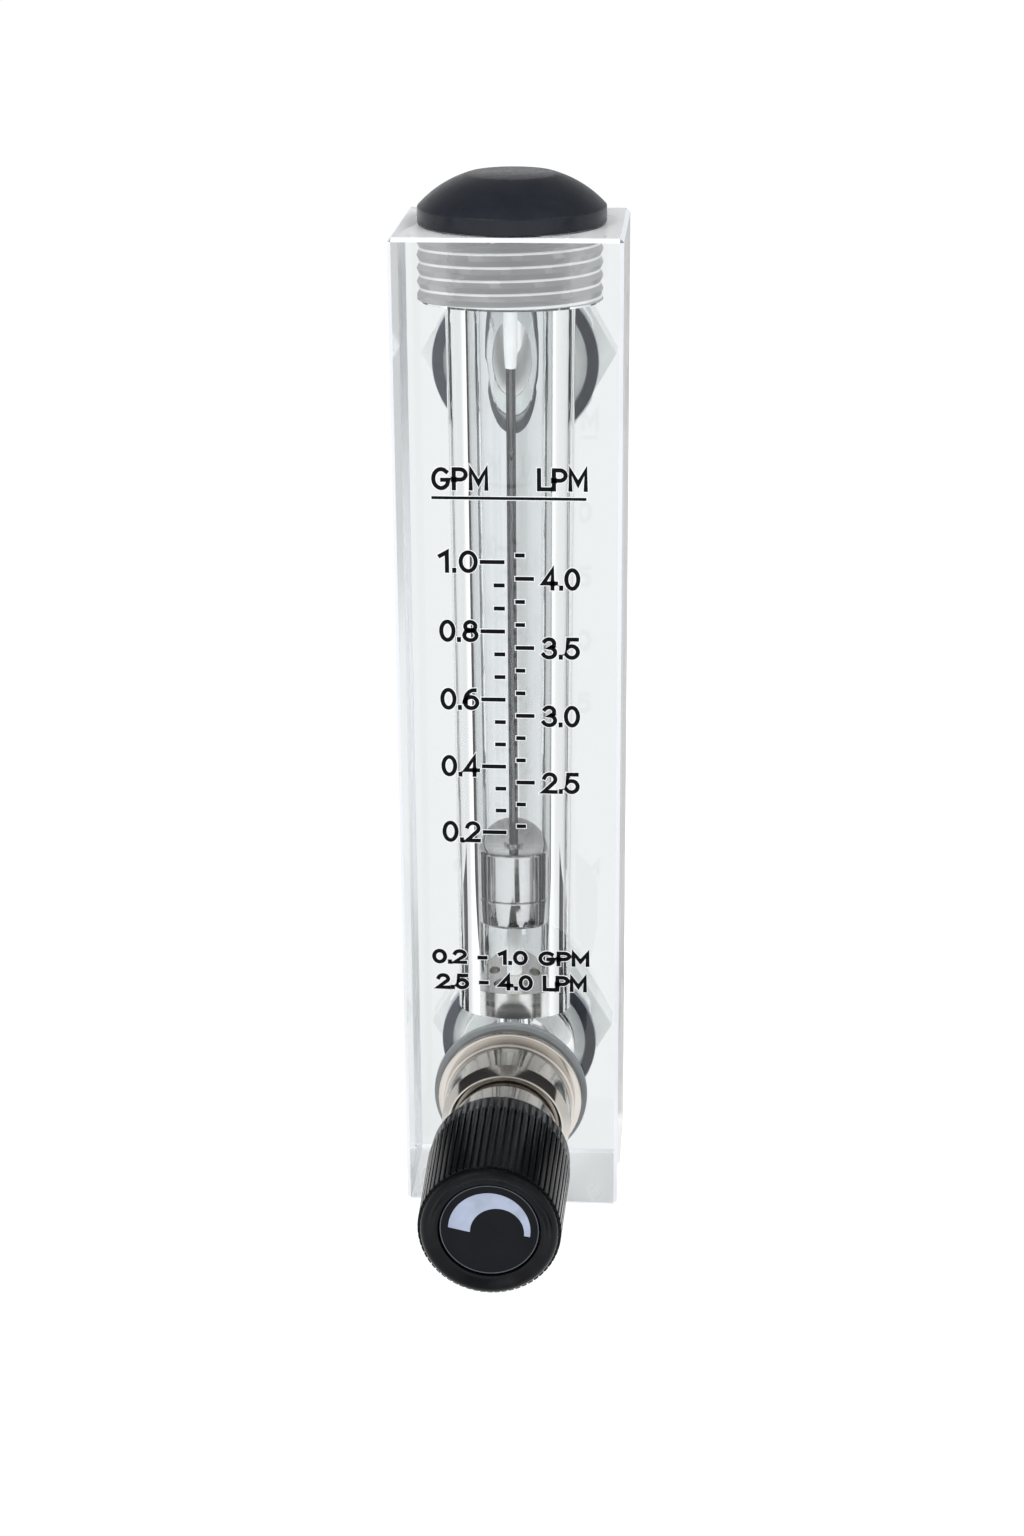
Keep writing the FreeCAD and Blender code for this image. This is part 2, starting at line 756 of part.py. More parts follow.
def check_model():
    """Stop if any object failed or any sub-part's shape isn't one valid solid."""
    for item in doc.Objects:
        if any(word in item.State for word in ("Invalid", "Error")):
            raise RuntimeError(f"{item.Name} failed: {item.State}")
    for body in sub_parts:
        shape = body.Shape
        if shape.isNull() or not shape.isValid() or len(shape.Solids) != 1:
            raise RuntimeError(f"{body.Label} isn't one valid solid")


def write_parts():
    """Write each sub-part's shape to its own STEP file."""
    os.makedirs("parts", exist_ok=True)
    for body in sub_parts:
        body.Shape.exportStep(f"parts/{body.Label}.step")


make_sheet()
make_block()
make_top_plug()
seal_ring("plug_oring", "plug_seal_radius", "plug_seal_section",
          z="bore_top + plug_seal_section")
make_dome_cap()
make_guide()
make_float()
make_bonnet()
make_gland()
make_seat()
make_stem()
make_knob()
make_port("outlet", "outlet_height")
make_port("inlet", "valve_height")
doc.recompute()
check_model()
write_parts()
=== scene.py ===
"""Looks of a panel flow meter: clear block, threads, printed scale, metals, knob and stage."""

import json
import math

import bmesh
import bpy
import numpy as np
from bpy.props import FloatProperty, FloatVectorProperty, PointerProperty
from mathutils import Matrix, Vector


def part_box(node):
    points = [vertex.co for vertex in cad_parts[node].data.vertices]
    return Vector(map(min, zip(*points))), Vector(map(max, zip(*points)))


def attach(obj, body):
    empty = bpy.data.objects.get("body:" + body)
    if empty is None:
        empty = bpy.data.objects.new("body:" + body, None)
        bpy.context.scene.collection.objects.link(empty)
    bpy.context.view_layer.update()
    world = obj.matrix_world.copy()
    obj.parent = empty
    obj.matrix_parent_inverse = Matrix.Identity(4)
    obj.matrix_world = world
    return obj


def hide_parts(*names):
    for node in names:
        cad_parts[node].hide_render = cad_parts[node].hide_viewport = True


bl_info = {
    "name": "Panel flow meter",
    "version": (1, 0, 0),
    "blender": (4, 5, 0),
    "location": "3D View > Sidebar > Flow meter",
    "description": "Builds the finishes, threads and printed scale of a panel flow meter",
    "category": "Object",
}

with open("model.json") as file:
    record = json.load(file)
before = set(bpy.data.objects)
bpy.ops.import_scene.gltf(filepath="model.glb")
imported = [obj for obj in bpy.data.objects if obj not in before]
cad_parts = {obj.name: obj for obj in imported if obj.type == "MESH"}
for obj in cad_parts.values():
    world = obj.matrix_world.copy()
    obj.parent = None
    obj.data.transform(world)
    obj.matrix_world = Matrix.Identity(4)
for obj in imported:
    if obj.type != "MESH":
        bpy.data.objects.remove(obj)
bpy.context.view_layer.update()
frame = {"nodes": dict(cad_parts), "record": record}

MM = 0.001
BLOCK_LOW, BLOCK_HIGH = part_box("block")
FRONT = BLOCK_LOW.y
REAR = BLOCK_HIGH.y
TOP = BLOCK_HIGH.z


def middle(node):
    """Centre of a CAD node's box."""
    low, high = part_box(node)
    return (low + high) / 2


VALVE_HEIGHT = middle("valve_bonnet").z
KNOB_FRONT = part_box("knob_disc")[0].y
THREAD_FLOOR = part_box("plug_oring")[0].z + 0.4 * MM

# Axes of turned pieces: columns are the piece's own X, Y and Z in the part's frame.
UPWARD = np.eye(3)
FORWARD = np.array([[1.0, 0.0, 0.0], [0.0, 0.0, -1.0], [0.0, 1.0, 0.0]])
BACKWARD = np.array([[-1.0, 0.0, 0.0], [0.0, 0.0, 1.0], [0.0, 1.0, 0.0]])


# ---------------------------------------------------------------- settings

class BlockSettings(bpy.types.PropertyGroup):
    """Acrylic of the block and of the plug."""
    tint: FloatVectorProperty(name="Tint", description="Colour that the clear block passes on",
                              subtype="COLOR", default=(0.88, 0.905, 0.915))
    ior: FloatProperty(name="Refraction", description="Refractive index of acrylic", default=1.49)
    plug_tint: FloatVectorProperty(name="Plug tint", description="Colour of the screwed plug",
                                   subtype="COLOR", default=(0.86, 0.87, 0.88))


class ThreadSettings(bpy.types.PropertyGroup):
    """Pitch and depth of the threads that show."""
    plug_pitch: FloatProperty(name="Plug pitch", description="Pitch of the plug's thread",
                              subtype="DISTANCE", unit="LENGTH", default=2.0 * MM)
    plug_depth: FloatProperty(name="Plug depth", description="Depth of the plug's thread",
                              subtype="DISTANCE", unit="LENGTH", default=0.9 * MM)
    panel_pitch: FloatProperty(name="Panel pitch", description="Pitch of the panel nut's thread",
                               subtype="DISTANCE", unit="LENGTH", default=1.5 * MM)
    pipe_pitch: FloatProperty(name="Pipe pitch", description="Pitch of the pipe thread",
                              subtype="DISTANCE", unit="LENGTH", default=1.8 * MM)
    valve_pitch: FloatProperty(name="Valve pitch", description="Pitch of the bonnet's shank",
                               subtype="DISTANCE", unit="LENGTH", default=1.25 * MM)


class PrintSettings(bpy.types.PropertyGroup):
    """Printed scale on the front face."""
    digit: FloatProperty(name="Digits", description="Height of the scale's digits",
                         subtype="DISTANCE", unit="LENGTH", default=3.6 * MM)
    stroke: FloatProperty(name="Line", description="Thickness of the scale's lines",
                          subtype="DISTANCE", unit="LENGTH", default=0.64 * MM)
    edging: FloatProperty(name="Edging", description="White underprint that shows round the ink",
                          subtype="DISTANCE", unit="LENGTH", default=0.12 * MM)
    ink: FloatVectorProperty(name="Ink", description="Colour of the ink",
                             subtype="COLOR", default=(0.002, 0.002, 0.003))


class KnobSettings(bpy.types.PropertyGroup):
    """Knob and the mark on its face."""
    edge: FloatProperty(name="Edge", description="Rounding of the knob's edges",
                        subtype="DISTANCE", unit="LENGTH", default=0.08 * MM)
    mark: FloatVectorProperty(name="Mark", description="Colour of the turning mark",
                              subtype="COLOR", default=(0.40, 0.45, 0.57))


class StageSettings(bpy.types.PropertyGroup):
    """Studio round the meter."""
    key_power: FloatProperty(name="Key lamp", description="Power of the large left lamp",
                             subtype="POWER", unit="POWER", default=7.0)
    fill_power: FloatProperty(name="Fill lamp", description="Power of the right lamp",
                              subtype="POWER", unit="POWER", default=4.0)
    tent_radius: FloatProperty(name="Tent", description="Radius of the light tent",
                               subtype="DISTANCE", unit="LENGTH", default=0.6)
    flag_grey: FloatProperty(name="Flags", description="Grey of the dark flags",
                             min=0.0, max=1.0, default=0.05)


# ---------------------------------------------------------------- node materials

def shader_of(material):
    """Principled shader of a material."""
    return material.node_tree.nodes["Principled BSDF"]


def new_material(name, base, roughness, metallic=0.0):
    """Principled material; returns it with its node tree and shader."""
    material = bpy.data.materials.new(name)
    material.use_nodes = True
    shader = shader_of(material)
    shader.inputs["Base Color"].default_value = (*base, 1.0)
    shader.inputs["Roughness"].default_value = roughness
    shader.inputs["Metallic"].default_value = metallic
    return material, material.node_tree, shader


def object_axes(tree):
    """X, Y and Z of the Object coordinates."""
    place = tree.nodes.new("ShaderNodeTexCoord")
    split = tree.nodes.new("ShaderNodeSeparateXYZ")
    tree.links.new(place.outputs["Object"], split.inputs["Vector"])
    return [split.outputs[axis] for axis in "XYZ"]


def add_noise(tree, scale, stretch=(1.0, 1.0, 1.0), detail=3.0):
    """Value of a noise on Object coordinates; a small stretch draws it out along that axis."""
    place = tree.nodes.new("ShaderNodeTexCoord")
    mapping = tree.nodes.new("ShaderNodeMapping")
    mapping.inputs["Scale"].default_value = stretch
    noise = tree.nodes.new("ShaderNodeTexNoise")
    noise.inputs["Scale"].default_value = scale
    noise.inputs["Detail"].default_value = detail
    tree.links.new(place.outputs["Object"], mapping.inputs["Vector"])
    tree.links.new(mapping.outputs["Vector"], noise.inputs["Vector"])
    return noise.outputs["Fac"]


def vary_color(tree, shader, value, dark, light):
    """Let the base colour run from dark to light with a value."""
    ramp = tree.nodes.new("ShaderNodeValToRGB")
    ramp.color_ramp.elements[0].position = 0.3
    ramp.color_ramp.elements[0].color = (*dark, 1.0)
    ramp.color_ramp.elements[1].position = 0.7
    ramp.color_ramp.elements[1].color = (*light, 1.0)
    tree.links.new(value, ramp.inputs["Fac"])
    tree.links.new(ramp.outputs["Color"], shader.inputs["Base Color"])


def vary_roughness(tree, shader, value, low, high):
    """Let the roughness run from low to high with a value."""
    span = tree.nodes.new("ShaderNodeMapRange")
    span.inputs["From Min"].default_value = 0.3
    span.inputs["From Max"].default_value = 0.7
    span.inputs["To Min"].default_value = low
    span.inputs["To Max"].default_value = high
    tree.links.new(value, span.inputs["Value"])
    tree.links.new(span.outputs["Result"], shader.inputs["Roughness"])


def ramp_of(tree, source, stops):
    """Value that runs through stops, pairs of (position, grey)."""
    ramp = tree.nodes.new("ShaderNodeValToRGB")
    elements = ramp.color_ramp.elements
    while len(elements) < len(stops):
        elements.new(0.5)
    for element, (position, grey) in zip(elements, stops):
        element.position = position
        element.color = (grey, grey, grey, 1.0)
    tree.links.new(source, ramp.inputs["Fac"])
    return ramp.outputs["Color"]


def combine(tree, operation, first, second):
    """Maths on two values, each a socket or a number."""
    node = tree.nodes.new("ShaderNodeMath")
    node.operation = operation
    for value, socket in ((first, node.inputs[0]), (second, node.inputs[1])):
        if isinstance(value, (int, float)):
            socket.default_value = value
        else:
            tree.links.new(value, socket)
    return node.outputs["Value"]


def add_bump(tree, shader, value, height, strength=1.0):
    """Bump of a given height in metres from a value."""
    bump = tree.nodes.new("ShaderNodeBump")
    bump.inputs["Distance"].default_value = height
    bump.inputs["Strength"].default_value = strength
    tree.links.new(value, bump.inputs["Height"])
    tree.links.new(bump.outputs["Normal"], shader.inputs["Normal"])


def mix_shaders(tree, share, first, second, output):
    """Surface of an output that goes from the first shader to the second with a share."""
    mix = tree.nodes.new("ShaderNodeMixShader")
    for source, socket in zip((share, first, second), mix.inputs):
        tree.links.new(source, socket)
    tree.links.new(mix.outputs["Shader"], tree.nodes[output].inputs["Surface"])


def let_lamps_through(tree, shader):
    """Shadow rays pass a clear piece, so what is inside it is lit."""
    path = tree.nodes.new("ShaderNodeLightPath")
    clear = tree.nodes.new("ShaderNodeBsdfTransparent")
    mix_shaders(tree, path.outputs["Is Shadow Ray"], shader.outputs["BSDF"],
                clear.outputs["BSDF"], "Material Output")


def acrylic(name, tint, ior, low, high):
    """Polished clear acrylic whose polish varies a little over the face."""
    material, tree, shader = new_material(name, tint, low)
    shader.inputs["Transmission Weight"].default_value = 1.0
    shader.inputs["IOR"].default_value = ior
    vary_roughness(tree, shader, add_noise(tree, 60.0), low, high)
    let_lamps_through(tree, shader)
    return material


def cap_plastic():
    """Moulded charcoal plastic with a fine satin grain and a clear gloss."""
    material, tree, shader = new_material("cap_plastic", (0.009, 0.011, 0.016), 0.32)
    grain = add_noise(tree, 9000.0)
    vary_color(tree, shader, add_noise(tree, 300.0), (0.007, 0.009, 0.013), (0.010, 0.012, 0.018))
    vary_roughness(tree, shader, add_noise(tree, 800.0), 0.26, 0.36)
    shader.inputs["Specular IOR Level"].default_value = 0.20
    add_bump(tree, shader, grain, 0.004 * MM, 0.4)
    shader.inputs["Coat Weight"].default_value = 0.08
    shader.inputs["Coat Roughness"].default_value = 0.12
    return material


def turned_metal(name, dark, light, roughness, stretch):
    """Bright metal with fine tool marks, which run along the axes whose stretch is small."""
    material, tree, shader = new_material(name, light, roughness, 1.0)
    marks = add_noise(tree, 1500.0, stretch, 2.0)
    cloud = add_noise(tree, 120.0)
    vary_color(tree, shader, cloud, dark, light)
    vary_roughness(tree, shader, marks, roughness * 0.7, roughness * 1.4)
    add_bump(tree, shader, marks, 0.003 * MM, 0.3)
    return material


def polished_steel():
    """Stainless steel turned about an upright axis and polished."""
    return turned_metal("polished_steel", (0.58, 0.57, 0.57), (0.66, 0.65, 0.65), 0.09,
                        (0.02, 0.02, 1.0))


def shaded_rod_steel():
    """Drawn stainless steel of the guide rod with painted shade: far darker than the float's steel,
    and a black specular tint darkens its grazing edges.
    """
    # Painted shade: the same stainless steel as the float, given a far darker base colour.
    material = turned_metal("shaded_rod_steel", (0.10, 0.10, 0.105), (0.13, 0.13, 0.135), 0.05,
                            (1.0, 1.0, 0.02))
    # Painted shade on the grazing edges from a black specular tint.
    shader_of(material).inputs["Specular Tint"].default_value = (0.0, 0.0, 0.0, 1.0)
    return material


def bright_nickel():
    """Warm nickel plate turned about the valve's axis."""
    return turned_metal("bright_nickel", (0.49, 0.465, 0.43), (0.55, 0.525, 0.49), 0.10,
                        (0.02, 1.0, 0.02))


def lit_seat_nickel():
    """The same plate on the pieces that stand upright in the bore, painted lighter than on the
    bonnet: a lit copy of it.
    """
    # Painted light: a much lighter base colour than bright_nickel for the same plate.
    return turned_metal("lit_seat_nickel", (0.76, 0.74, 0.71), (0.82, 0.80, 0.77), 0.20,
                        (0.02, 0.02, 1.0))


def moulded_plastic(name, dark, light, low, high, grain=0.006 * MM):
    """Moulded plastic with slight mottling and a fine grain."""
    material, tree, shader = new_material(name, light, low)
    vary_color(tree, shader, add_noise(tree, 400.0), dark, light)
    vary_roughness(tree, shader, add_noise(tree, 900.0), low, high)
    add_bump(tree, shader, add_noise(tree, 6000.0), grain, 0.5)
    return material


def knob_plastic():
    """Black satin plastic of the knob, worn a little smoother in places."""
    material = moulded_plastic("knob_plastic", (0.002, 0.002, 0.003), (0.004, 0.005, 0.006),
                               0.20, 0.27, 0.001 * MM)
    shader_of(material).inputs["Specular IOR Level"].default_value = 0.13
    return material


def disc_plastic():
    """Smooth black plastic of the knob's face disc."""
    material, tree, shader = new_material("disc_plastic", (0.003, 0.004, 0.006), 0.25)
    vary_color(tree, shader, add_noise(tree, 200.0), (0.002, 0.003, 0.005), (0.004, 0.005, 0.007))
    vary_roughness(tree, shader, add_noise(tree, 500.0), 0.22, 0.30)
    shader.inputs["Specular IOR Level"].default_value = 0.10
    return material


def port_plastic():
    """Natural white moulded plastic of the connectors and their nuts."""
    return moulded_plastic("port_plastic", (0.70, 0.71, 0.70), (0.77, 0.78, 0.77), 0.36, 0.48)


def ptfe():
    """Waxy white PTFE."""
    material = moulded_plastic("ptfe", (0.76, 0.77, 0.77), (0.84, 0.85, 0.85), 0.4, 0.5)
    shader = shader_of(material)
    shader.inputs["Subsurface Weight"].default_value = 0.1
    shader.inputs["Subsurface Radius"].default_value = (0.8 * MM, 0.8 * MM, 0.8 * MM)
    return material


def silicone():
    """Translucent grey silicone."""
    material, tree, shader = new_material("silicone", (0.33, 0.35, 0.36), 0.35)
    shader.inputs["Transmission Weight"].default_value = 0.6
    shader.inputs["IOR"].default_value = 1.41
    vary_roughness(tree, shader, add_noise(tree, 700.0), 0.28, 0.45)
    vary_color(tree, shader, add_noise(tree, 250.0), (0.30, 0.32, 0.33), (0.36, 0.38, 0.39))
    let_lamps_through(tree, shader)
    return material


def slate_rubber():
    """Matt slate-grey rubber of the port gaskets and of the stem's seal."""
    return moulded_plastic("slate_rubber", (0.19, 0.21, 0.25), (0.24, 0.265, 0.31), 0.5, 0.65,
                           0.01 * MM)


def dark_steel():
    """Blackened steel of the set screw."""
    return turned_metal("dark_steel", (0.06, 0.06, 0.06), (0.12, 0.12, 0.12), 0.35, (0.1, 0.1, 1.0))


def print_ink(name, color):
    """Screen-printed ink: matt, with a slight unevenness in its cover."""
    dark = tuple(0.8 * part for part in color)
    material = moulded_plastic(name, dark, color, 0.5, 0.65, 0.002 * MM)
    shader_of(material).inputs["Specular IOR Level"].default_value = 0.08
    return material


# ---------------------------------------------------------------- surfaces

def rounded_corner(before, corner, after, radius, steps=4):
    """Points of a corner softened by a parabola tangent to both edges.

    With u and v the unit ways to the neighbours and t the cut-back along them, a point is
    corner + t * ((1 - s)^2 * u + s^2 * v) for s from 0 to 1.
    """
    if not radius:
        return corner[None]
    u = (before - corner) / np.linalg.norm(before - corner)
    v = (after - corner) / np.linalg.norm(after - corner)
    half_angle = np.arccos(np.clip(u @ v, -1.0, 1.0)) / 2
    cut = radius / np.tan(half_angle)
    s = np.linspace(0.0, 1.0, steps + 1)[:, None]
    return corner + cut * ((1 - s) ** 2 * u + s ** 2 * v)


def thread_rows(start, stop, pitch, depth, samples=14):
    """Rows along a straight edge that carries a thread, its depth fading out at both ends."""
    fading = 0.6 * pitch
    length = np.linalg.norm(stop - start)
    count = int(length / pitch * samples)
    along = np.linspace(0.0, 1.0, count)[1:-1, None]
    points = start + along * (stop - start)
    fade = np.clip(np.minimum(along, 1 - along) * length / fading, 0.0, 1.0)
    return np.hstack([points, np.full_like(along, pitch), depth * fade])


def profile_rows(corners):
    """Rows (radius, height, pitch, thread depth) of a profile.

    A corner is (radius, height, rounding) or (radius, height, rounding, pitch, depth), and
    the latter puts a thread on the edge that leaves it.
    """
    places = np.array([corner[:2] for corner in corners], float)
    ahead = np.roll(places, -1, axis=0)
    behind = np.roll(places, 1, axis=0)
    rows = []
    for corner, before, here, after in zip(corners, behind, places, ahead):
        bend = rounded_corner(before, here, after, corner[2])
        rows.append(np.hstack([bend, np.ones((len(bend), 1)), np.zeros((len(bend), 1))]))
        if len(corner) == 5:
            rows.append(thread_rows(bend[-1], after, corner[3], corner[4]))
    return np.vstack(rows)


def turned_points(rows, around, flat=None):
    """Grid of points: each row turned about Z, less the thread's depth.

    The radius is r - d * w, where w is a triangle wave of height / pitch - angle / turn, so
    the groove climbs one pitch a turn. flat limits the distance across in X.
    """
    angle = np.arange(around) * 2 * np.pi / around
    radius, height, pitch, depth = (column[:, None] for column in rows.T)
    phase = (height / pitch - angle / (2 * np.pi)) % 1.0
    reach = radius - depth * np.abs(2 * phase - 1)
    x = reach * np.cos(angle)
    if flat:
        x = np.clip(x, -flat, flat)
    return np.stack([x, reach * np.sin(angle), height + 0 * angle], axis=-1)


def grid_faces(down, across, close_down, close_across=True):
    """Quads of a grid of points, which may close down, across or both."""
    i = np.arange(down if close_down else down - 1)[:, None]
    j = np.arange(across if close_across else across - 1)[None]
    below = (i + 1) % down
    right = (j + 1) % across
    quads = [i * across + j, i * across + right, below * across + right, below * across + j]
    return np.stack(np.broadcast_arrays(*quads), axis=-1).reshape(-1, 4)


def linked(name, data):
    """New object in the scene from a mesh, a lamp or a camera."""
    item = bpy.data.objects.new(name, data)
    bpy.context.scene.collection.objects.link(item)
    return item


def array_mesh(name, points, faces):
    """Mesh from arrays of points and faces."""
    mesh = bpy.data.meshes.new(name)
    mesh.from_pydata(points.reshape(-1, 3).tolist(), [], faces.tolist())
    return mesh


def closed_object(name, mesh, shape, merge):
    """Object whose mesh takes a bmesh, with doubles merged and faces outwards."""
    bmesh.ops.remove_doubles(shape, verts=shape.verts, dist=merge)
    bmesh.ops.recalc_face_normals(shape, faces=shape.faces)
    shape.to_mesh(mesh)
    shape.free()
    return linked(name, mesh)


def mesh_object(name, points, faces):
    """Object from arrays of points and faces, with doubles merged and faces outwards."""
    mesh = array_mesh(name, points, faces)
    shape = bmesh.new()
    shape.from_mesh(mesh)
    return closed_object(name, mesh, shape, 0.001 * MM)


def merge_flat(mesh, merge, degrees, borders=()):
    """Merge a mesh's doubles and dissolve its edges flatter than an angle, up to borders."""
    shape = bmesh.new()
    shape.from_mesh(mesh)
    bmesh.ops.remove_doubles(shape, verts=shape.verts, dist=merge)
    bmesh.ops.dissolve_limit(shape, angle_limit=math.radians(degrees), verts=shape.verts,
                             edges=shape.edges, delimit=set(borders))
    shape.to_mesh(mesh)
    shape.free()


def shade(piece, degrees=30.0):
    """Smooth shading that keeps edges sharper than an angle."""
    mesh = piece.data
    mesh.polygons.foreach_set("use_smooth", np.ones(len(mesh.polygons), bool))
    mesh.set_sharp_from_angle(angle=math.radians(degrees))


def flatten_sides(piece):
    """Flat shading on the large faces that lie square to an axis."""
    large = 100 * MM * MM
    aligned = 0.999999
    mesh = piece.data
    normals = np.empty(3 * len(mesh.polygons))
    areas = np.empty(len(mesh.polygons))
    mesh.polygons.foreach_get("normal", normals)
    mesh.polygons.foreach_get("area", areas)
    square = np.abs(normals.reshape(-1, 3)).max(axis=1) > aligned
    mesh.polygons.foreach_set("use_smooth", ~(square & (areas > large)))


def dress(piece, material, body, slot, *nodes):
    """Give a piece its material, its body and the CAD nodes that it stands for; slot is not used.
    """
    piece.data.materials.clear()
    piece.data.materials.append(material)
    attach(piece, body)
    if nodes:
        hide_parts(*nodes)
    return piece


def turned_piece(name, corners, axes, origin, around=128, flat=None):
    """Turned solid from a profile in metres, set along one of the part's axes."""
    rows = profile_rows(corners)
    on_axis = min(corner[0] for corner in corners) == 0.0
    points = turned_points(rows, around, flat) @ axes.T + np.array(origin)
    piece = mesh_object(name, points, grid_faces(len(rows), around, not on_axis))
    shade(piece)
    return piece


def node_body(node):
    """Name of the body that a CAD node rides on."""
    for body, members in frame["record"]["behaviour"]["bodies"].items():
        if node in members:
            return body
    raise ValueError(node)


def node_slot(node):
    """Material slot that the record gives a CAD node."""
    for entry in frame["record"]["subparts"]:
        if entry["node"] == node:
            return entry["material_slot"]
    raise ValueError(node)


def softened_copy(node, material, edge=0.1 * MM, degrees=30.0):
    """Merged copy of a CAD node with softened edges, which stands for that node."""
    mesh = frame["nodes"][node].data.copy()
    merge_flat(mesh, 0.0005 * MM, 0.4)
    piece = linked(f"{node}_shown", mesh)
    if edge:
        soften = piece.modifiers.new("soft_edges", "BEVEL")
        soften.width = edge
        soften.segments = 2
        soften.limit_method = "ANGLE"
        soften.angle_limit = math.radians(degrees)
    shade(piece, degrees)
    return dress(piece, material, node_body(node), node_slot(node), node)


# ---------------------------------------------------------------- block, plug and cap

# Painted highlight and shade of the cut thread along its pitch: a pale painted highlight at the
# crest, painted grey shade between.
CREST_HIGHLIGHT = ((0.0, 1.0), (0.05, 1.0), (0.14, 0.0), (0.86, 0.0), (0.95, 1.0), (1.0, 1.0))
# Height of the plug's smooth collar, and radius of its hole for the rod with the room above.
COLLAR = 1.0 * MM
ROD_HOLE = 1.15 * MM
ROD_ROOM = 0.3 * MM


def cut_thread(name, tint, ior, pitch):
    """Frosted acrylic of the thread, with painted shade on its grey flanks and a painted highlight
    on its pale crests.

    The crests follow the helix: share of a pitch = frac(z / pitch - angle / 360 degrees).
    """
    material, tree, shader = new_material(name, tint, 0.45)
    shader.inputs["IOR"].default_value = ior
    x, y, z = object_axes(tree)
    angle = combine(tree, "ARCTAN2", y, x)
    turns = combine(tree, "DIVIDE", z, pitch)
    turns = combine(tree, "SUBTRACT", turns, combine(tree, "DIVIDE", angle, 2 * math.pi))
    crest = ramp_of(tree, combine(tree, "FRACT", turns, 0.0), CREST_HIGHLIGHT)
    shader.inputs["Transmission Weight"].default_value = 0.45
    # Painted shade: the flanks take a darkened tint, while the crests keep the pale tint as a
    # painted highlight.
    shaded_flank = tuple(0.30 * part for part in tint)
    vary_color(tree, shader, crest, shaded_flank, tint)
    vary_roughness(tree, shader, add_noise(tree, 500.0, (0.1, 0.1, 1.0)), 0.40, 0.52)
    let_lamps_through(tree, shader)
    return material


def sawn_acrylic(name, tint, ior, clear, low, high):
    """Acrylic that a saw or a scraper has left satin: part clear, part white."""
    material, tree, shader = new_material(name, tint, low)
    shader.inputs["IOR"].default_value = ior
    shader.inputs["Transmission Weight"].default_value = clear
    vary_roughness(tree, shader, add_noise(tree, 350.0, (1.0, 0.15, 1.0)), low, high)
    let_lamps_through(tree, shader)
    return material


def finish_outside(block, ends, edges, sides):
    """Give the block's two ends a sawn finish, its edges a scraped one whose pale colour is also a
    painted highlight, its sides a rubbed one.

    A face is told by its normal and by its reach, which is the share of the way from the
    block's middle to its outside along each axis. An edge's normal has two parts near 0.707.
    """
    outside = 0.999
    edge_reach = 0.97
    mesh = block.data
    first = len(mesh.materials)
    for material in (ends, edges, sides):
        mesh.materials.append(material)
    centre = (BLOCK_LOW + BLOCK_HIGH) / 2
    half = (BLOCK_HIGH - BLOCK_LOW) / 2
    for face in mesh.polygons:
        reach = [abs(face.center[axis] - centre[axis]) / half[axis] for axis in range(3)]
        slope = sorted(abs(part) for part in face.normal)
        if abs(face.normal.z) > outside and reach[2] > outside:
            face.material_index = first
        elif 0.69 < slope[1] < 0.72 and slope[0] < 0.6 and sorted(reach)[1] > edge_reach:
            face.material_index = first + 1
        elif abs(face.normal.x) > outside and reach[0] > outside:
            face.material_index = first + 2


def thread_cutter(thread, material):
    """Solid in the shape of a screw that cuts the plug's thread into its plain hole."""
    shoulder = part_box("top_plug")[1].z - 1.05 * COLLAR
    wall = 0.9 * MM
    radius = REAR - wall
    corners = [
        (0.0, THREAD_FLOOR, 0.0),
        (radius, THREAD_FLOOR, 0.0, thread.plug_pitch, thread.plug_depth / 2),
        (radius, shoulder, 0.0),
        (0.0, shoulder, 0.0),
    ]
    cutter = turned_piece("thread_cutter", corners, UPWARD, (0.0, 0.0, 0.0), 160)
    cutter.data.materials.append(material)
    return cutter


def cut_away(block, cutter, context):
    """Cut a solid out of the block for good; what it cuts takes the solid's material."""
    cut = block.modifiers.new("plug_thread", "BOOLEAN")
    cut.object = cutter
    cut.operation = "DIFFERENCE"
    cut.material_mode = "TRANSFER"
    shown = block.evaluated_get(context.evaluated_depsgraph_get())
    mesh = bpy.data.meshes.new_from_object(shown)
    merge_flat(mesh, 0.002 * MM, 0.3, ["MATERIAL"])
    block.modifiers.clear()
    block.data = mesh
    bpy.data.objects.remove(cutter)
    shade(block)
    flatten_sides(block)


class FLOW_OT_block(bpy.types.Operator):
    """Clear block with its bores and the thread for the plug"""
    bl_idname = "flow_meter.block"
    bl_label = "Clear block"

    def execute(self, context):
        looks = context.scene.flow_block
        clear = acrylic("clear_acrylic", looks.tint, looks.ior, 0.0, 0.012)
        block = softened_copy("block", clear, None)
        thread = context.scene.flow_thread
        tapped = cut_thread("cut_thread", looks.plug_tint, looks.ior, thread.plug_pitch)
        cut_away(block, thread_cutter(thread, tapped), context)
        ends = sawn_acrylic("sawn_acrylic", (0.94, 0.95, 0.96), looks.ior, 0.6, 0.25, 0.35)
        # Scraped edges: pale satin acrylic that also serves as a painted highlight along the
        # block's edges.
        edges = sawn_acrylic("scraped_highlight_acrylic", (0.74, 0.76, 0.79), looks.ior, 0.15, 0.4, 0.5)
        sides = acrylic("rubbed_acrylic", looks.tint, looks.ior, 0.05, 0.07)
        finish_outside(block, ends, edges, sides)
        return {"FINISHED"}


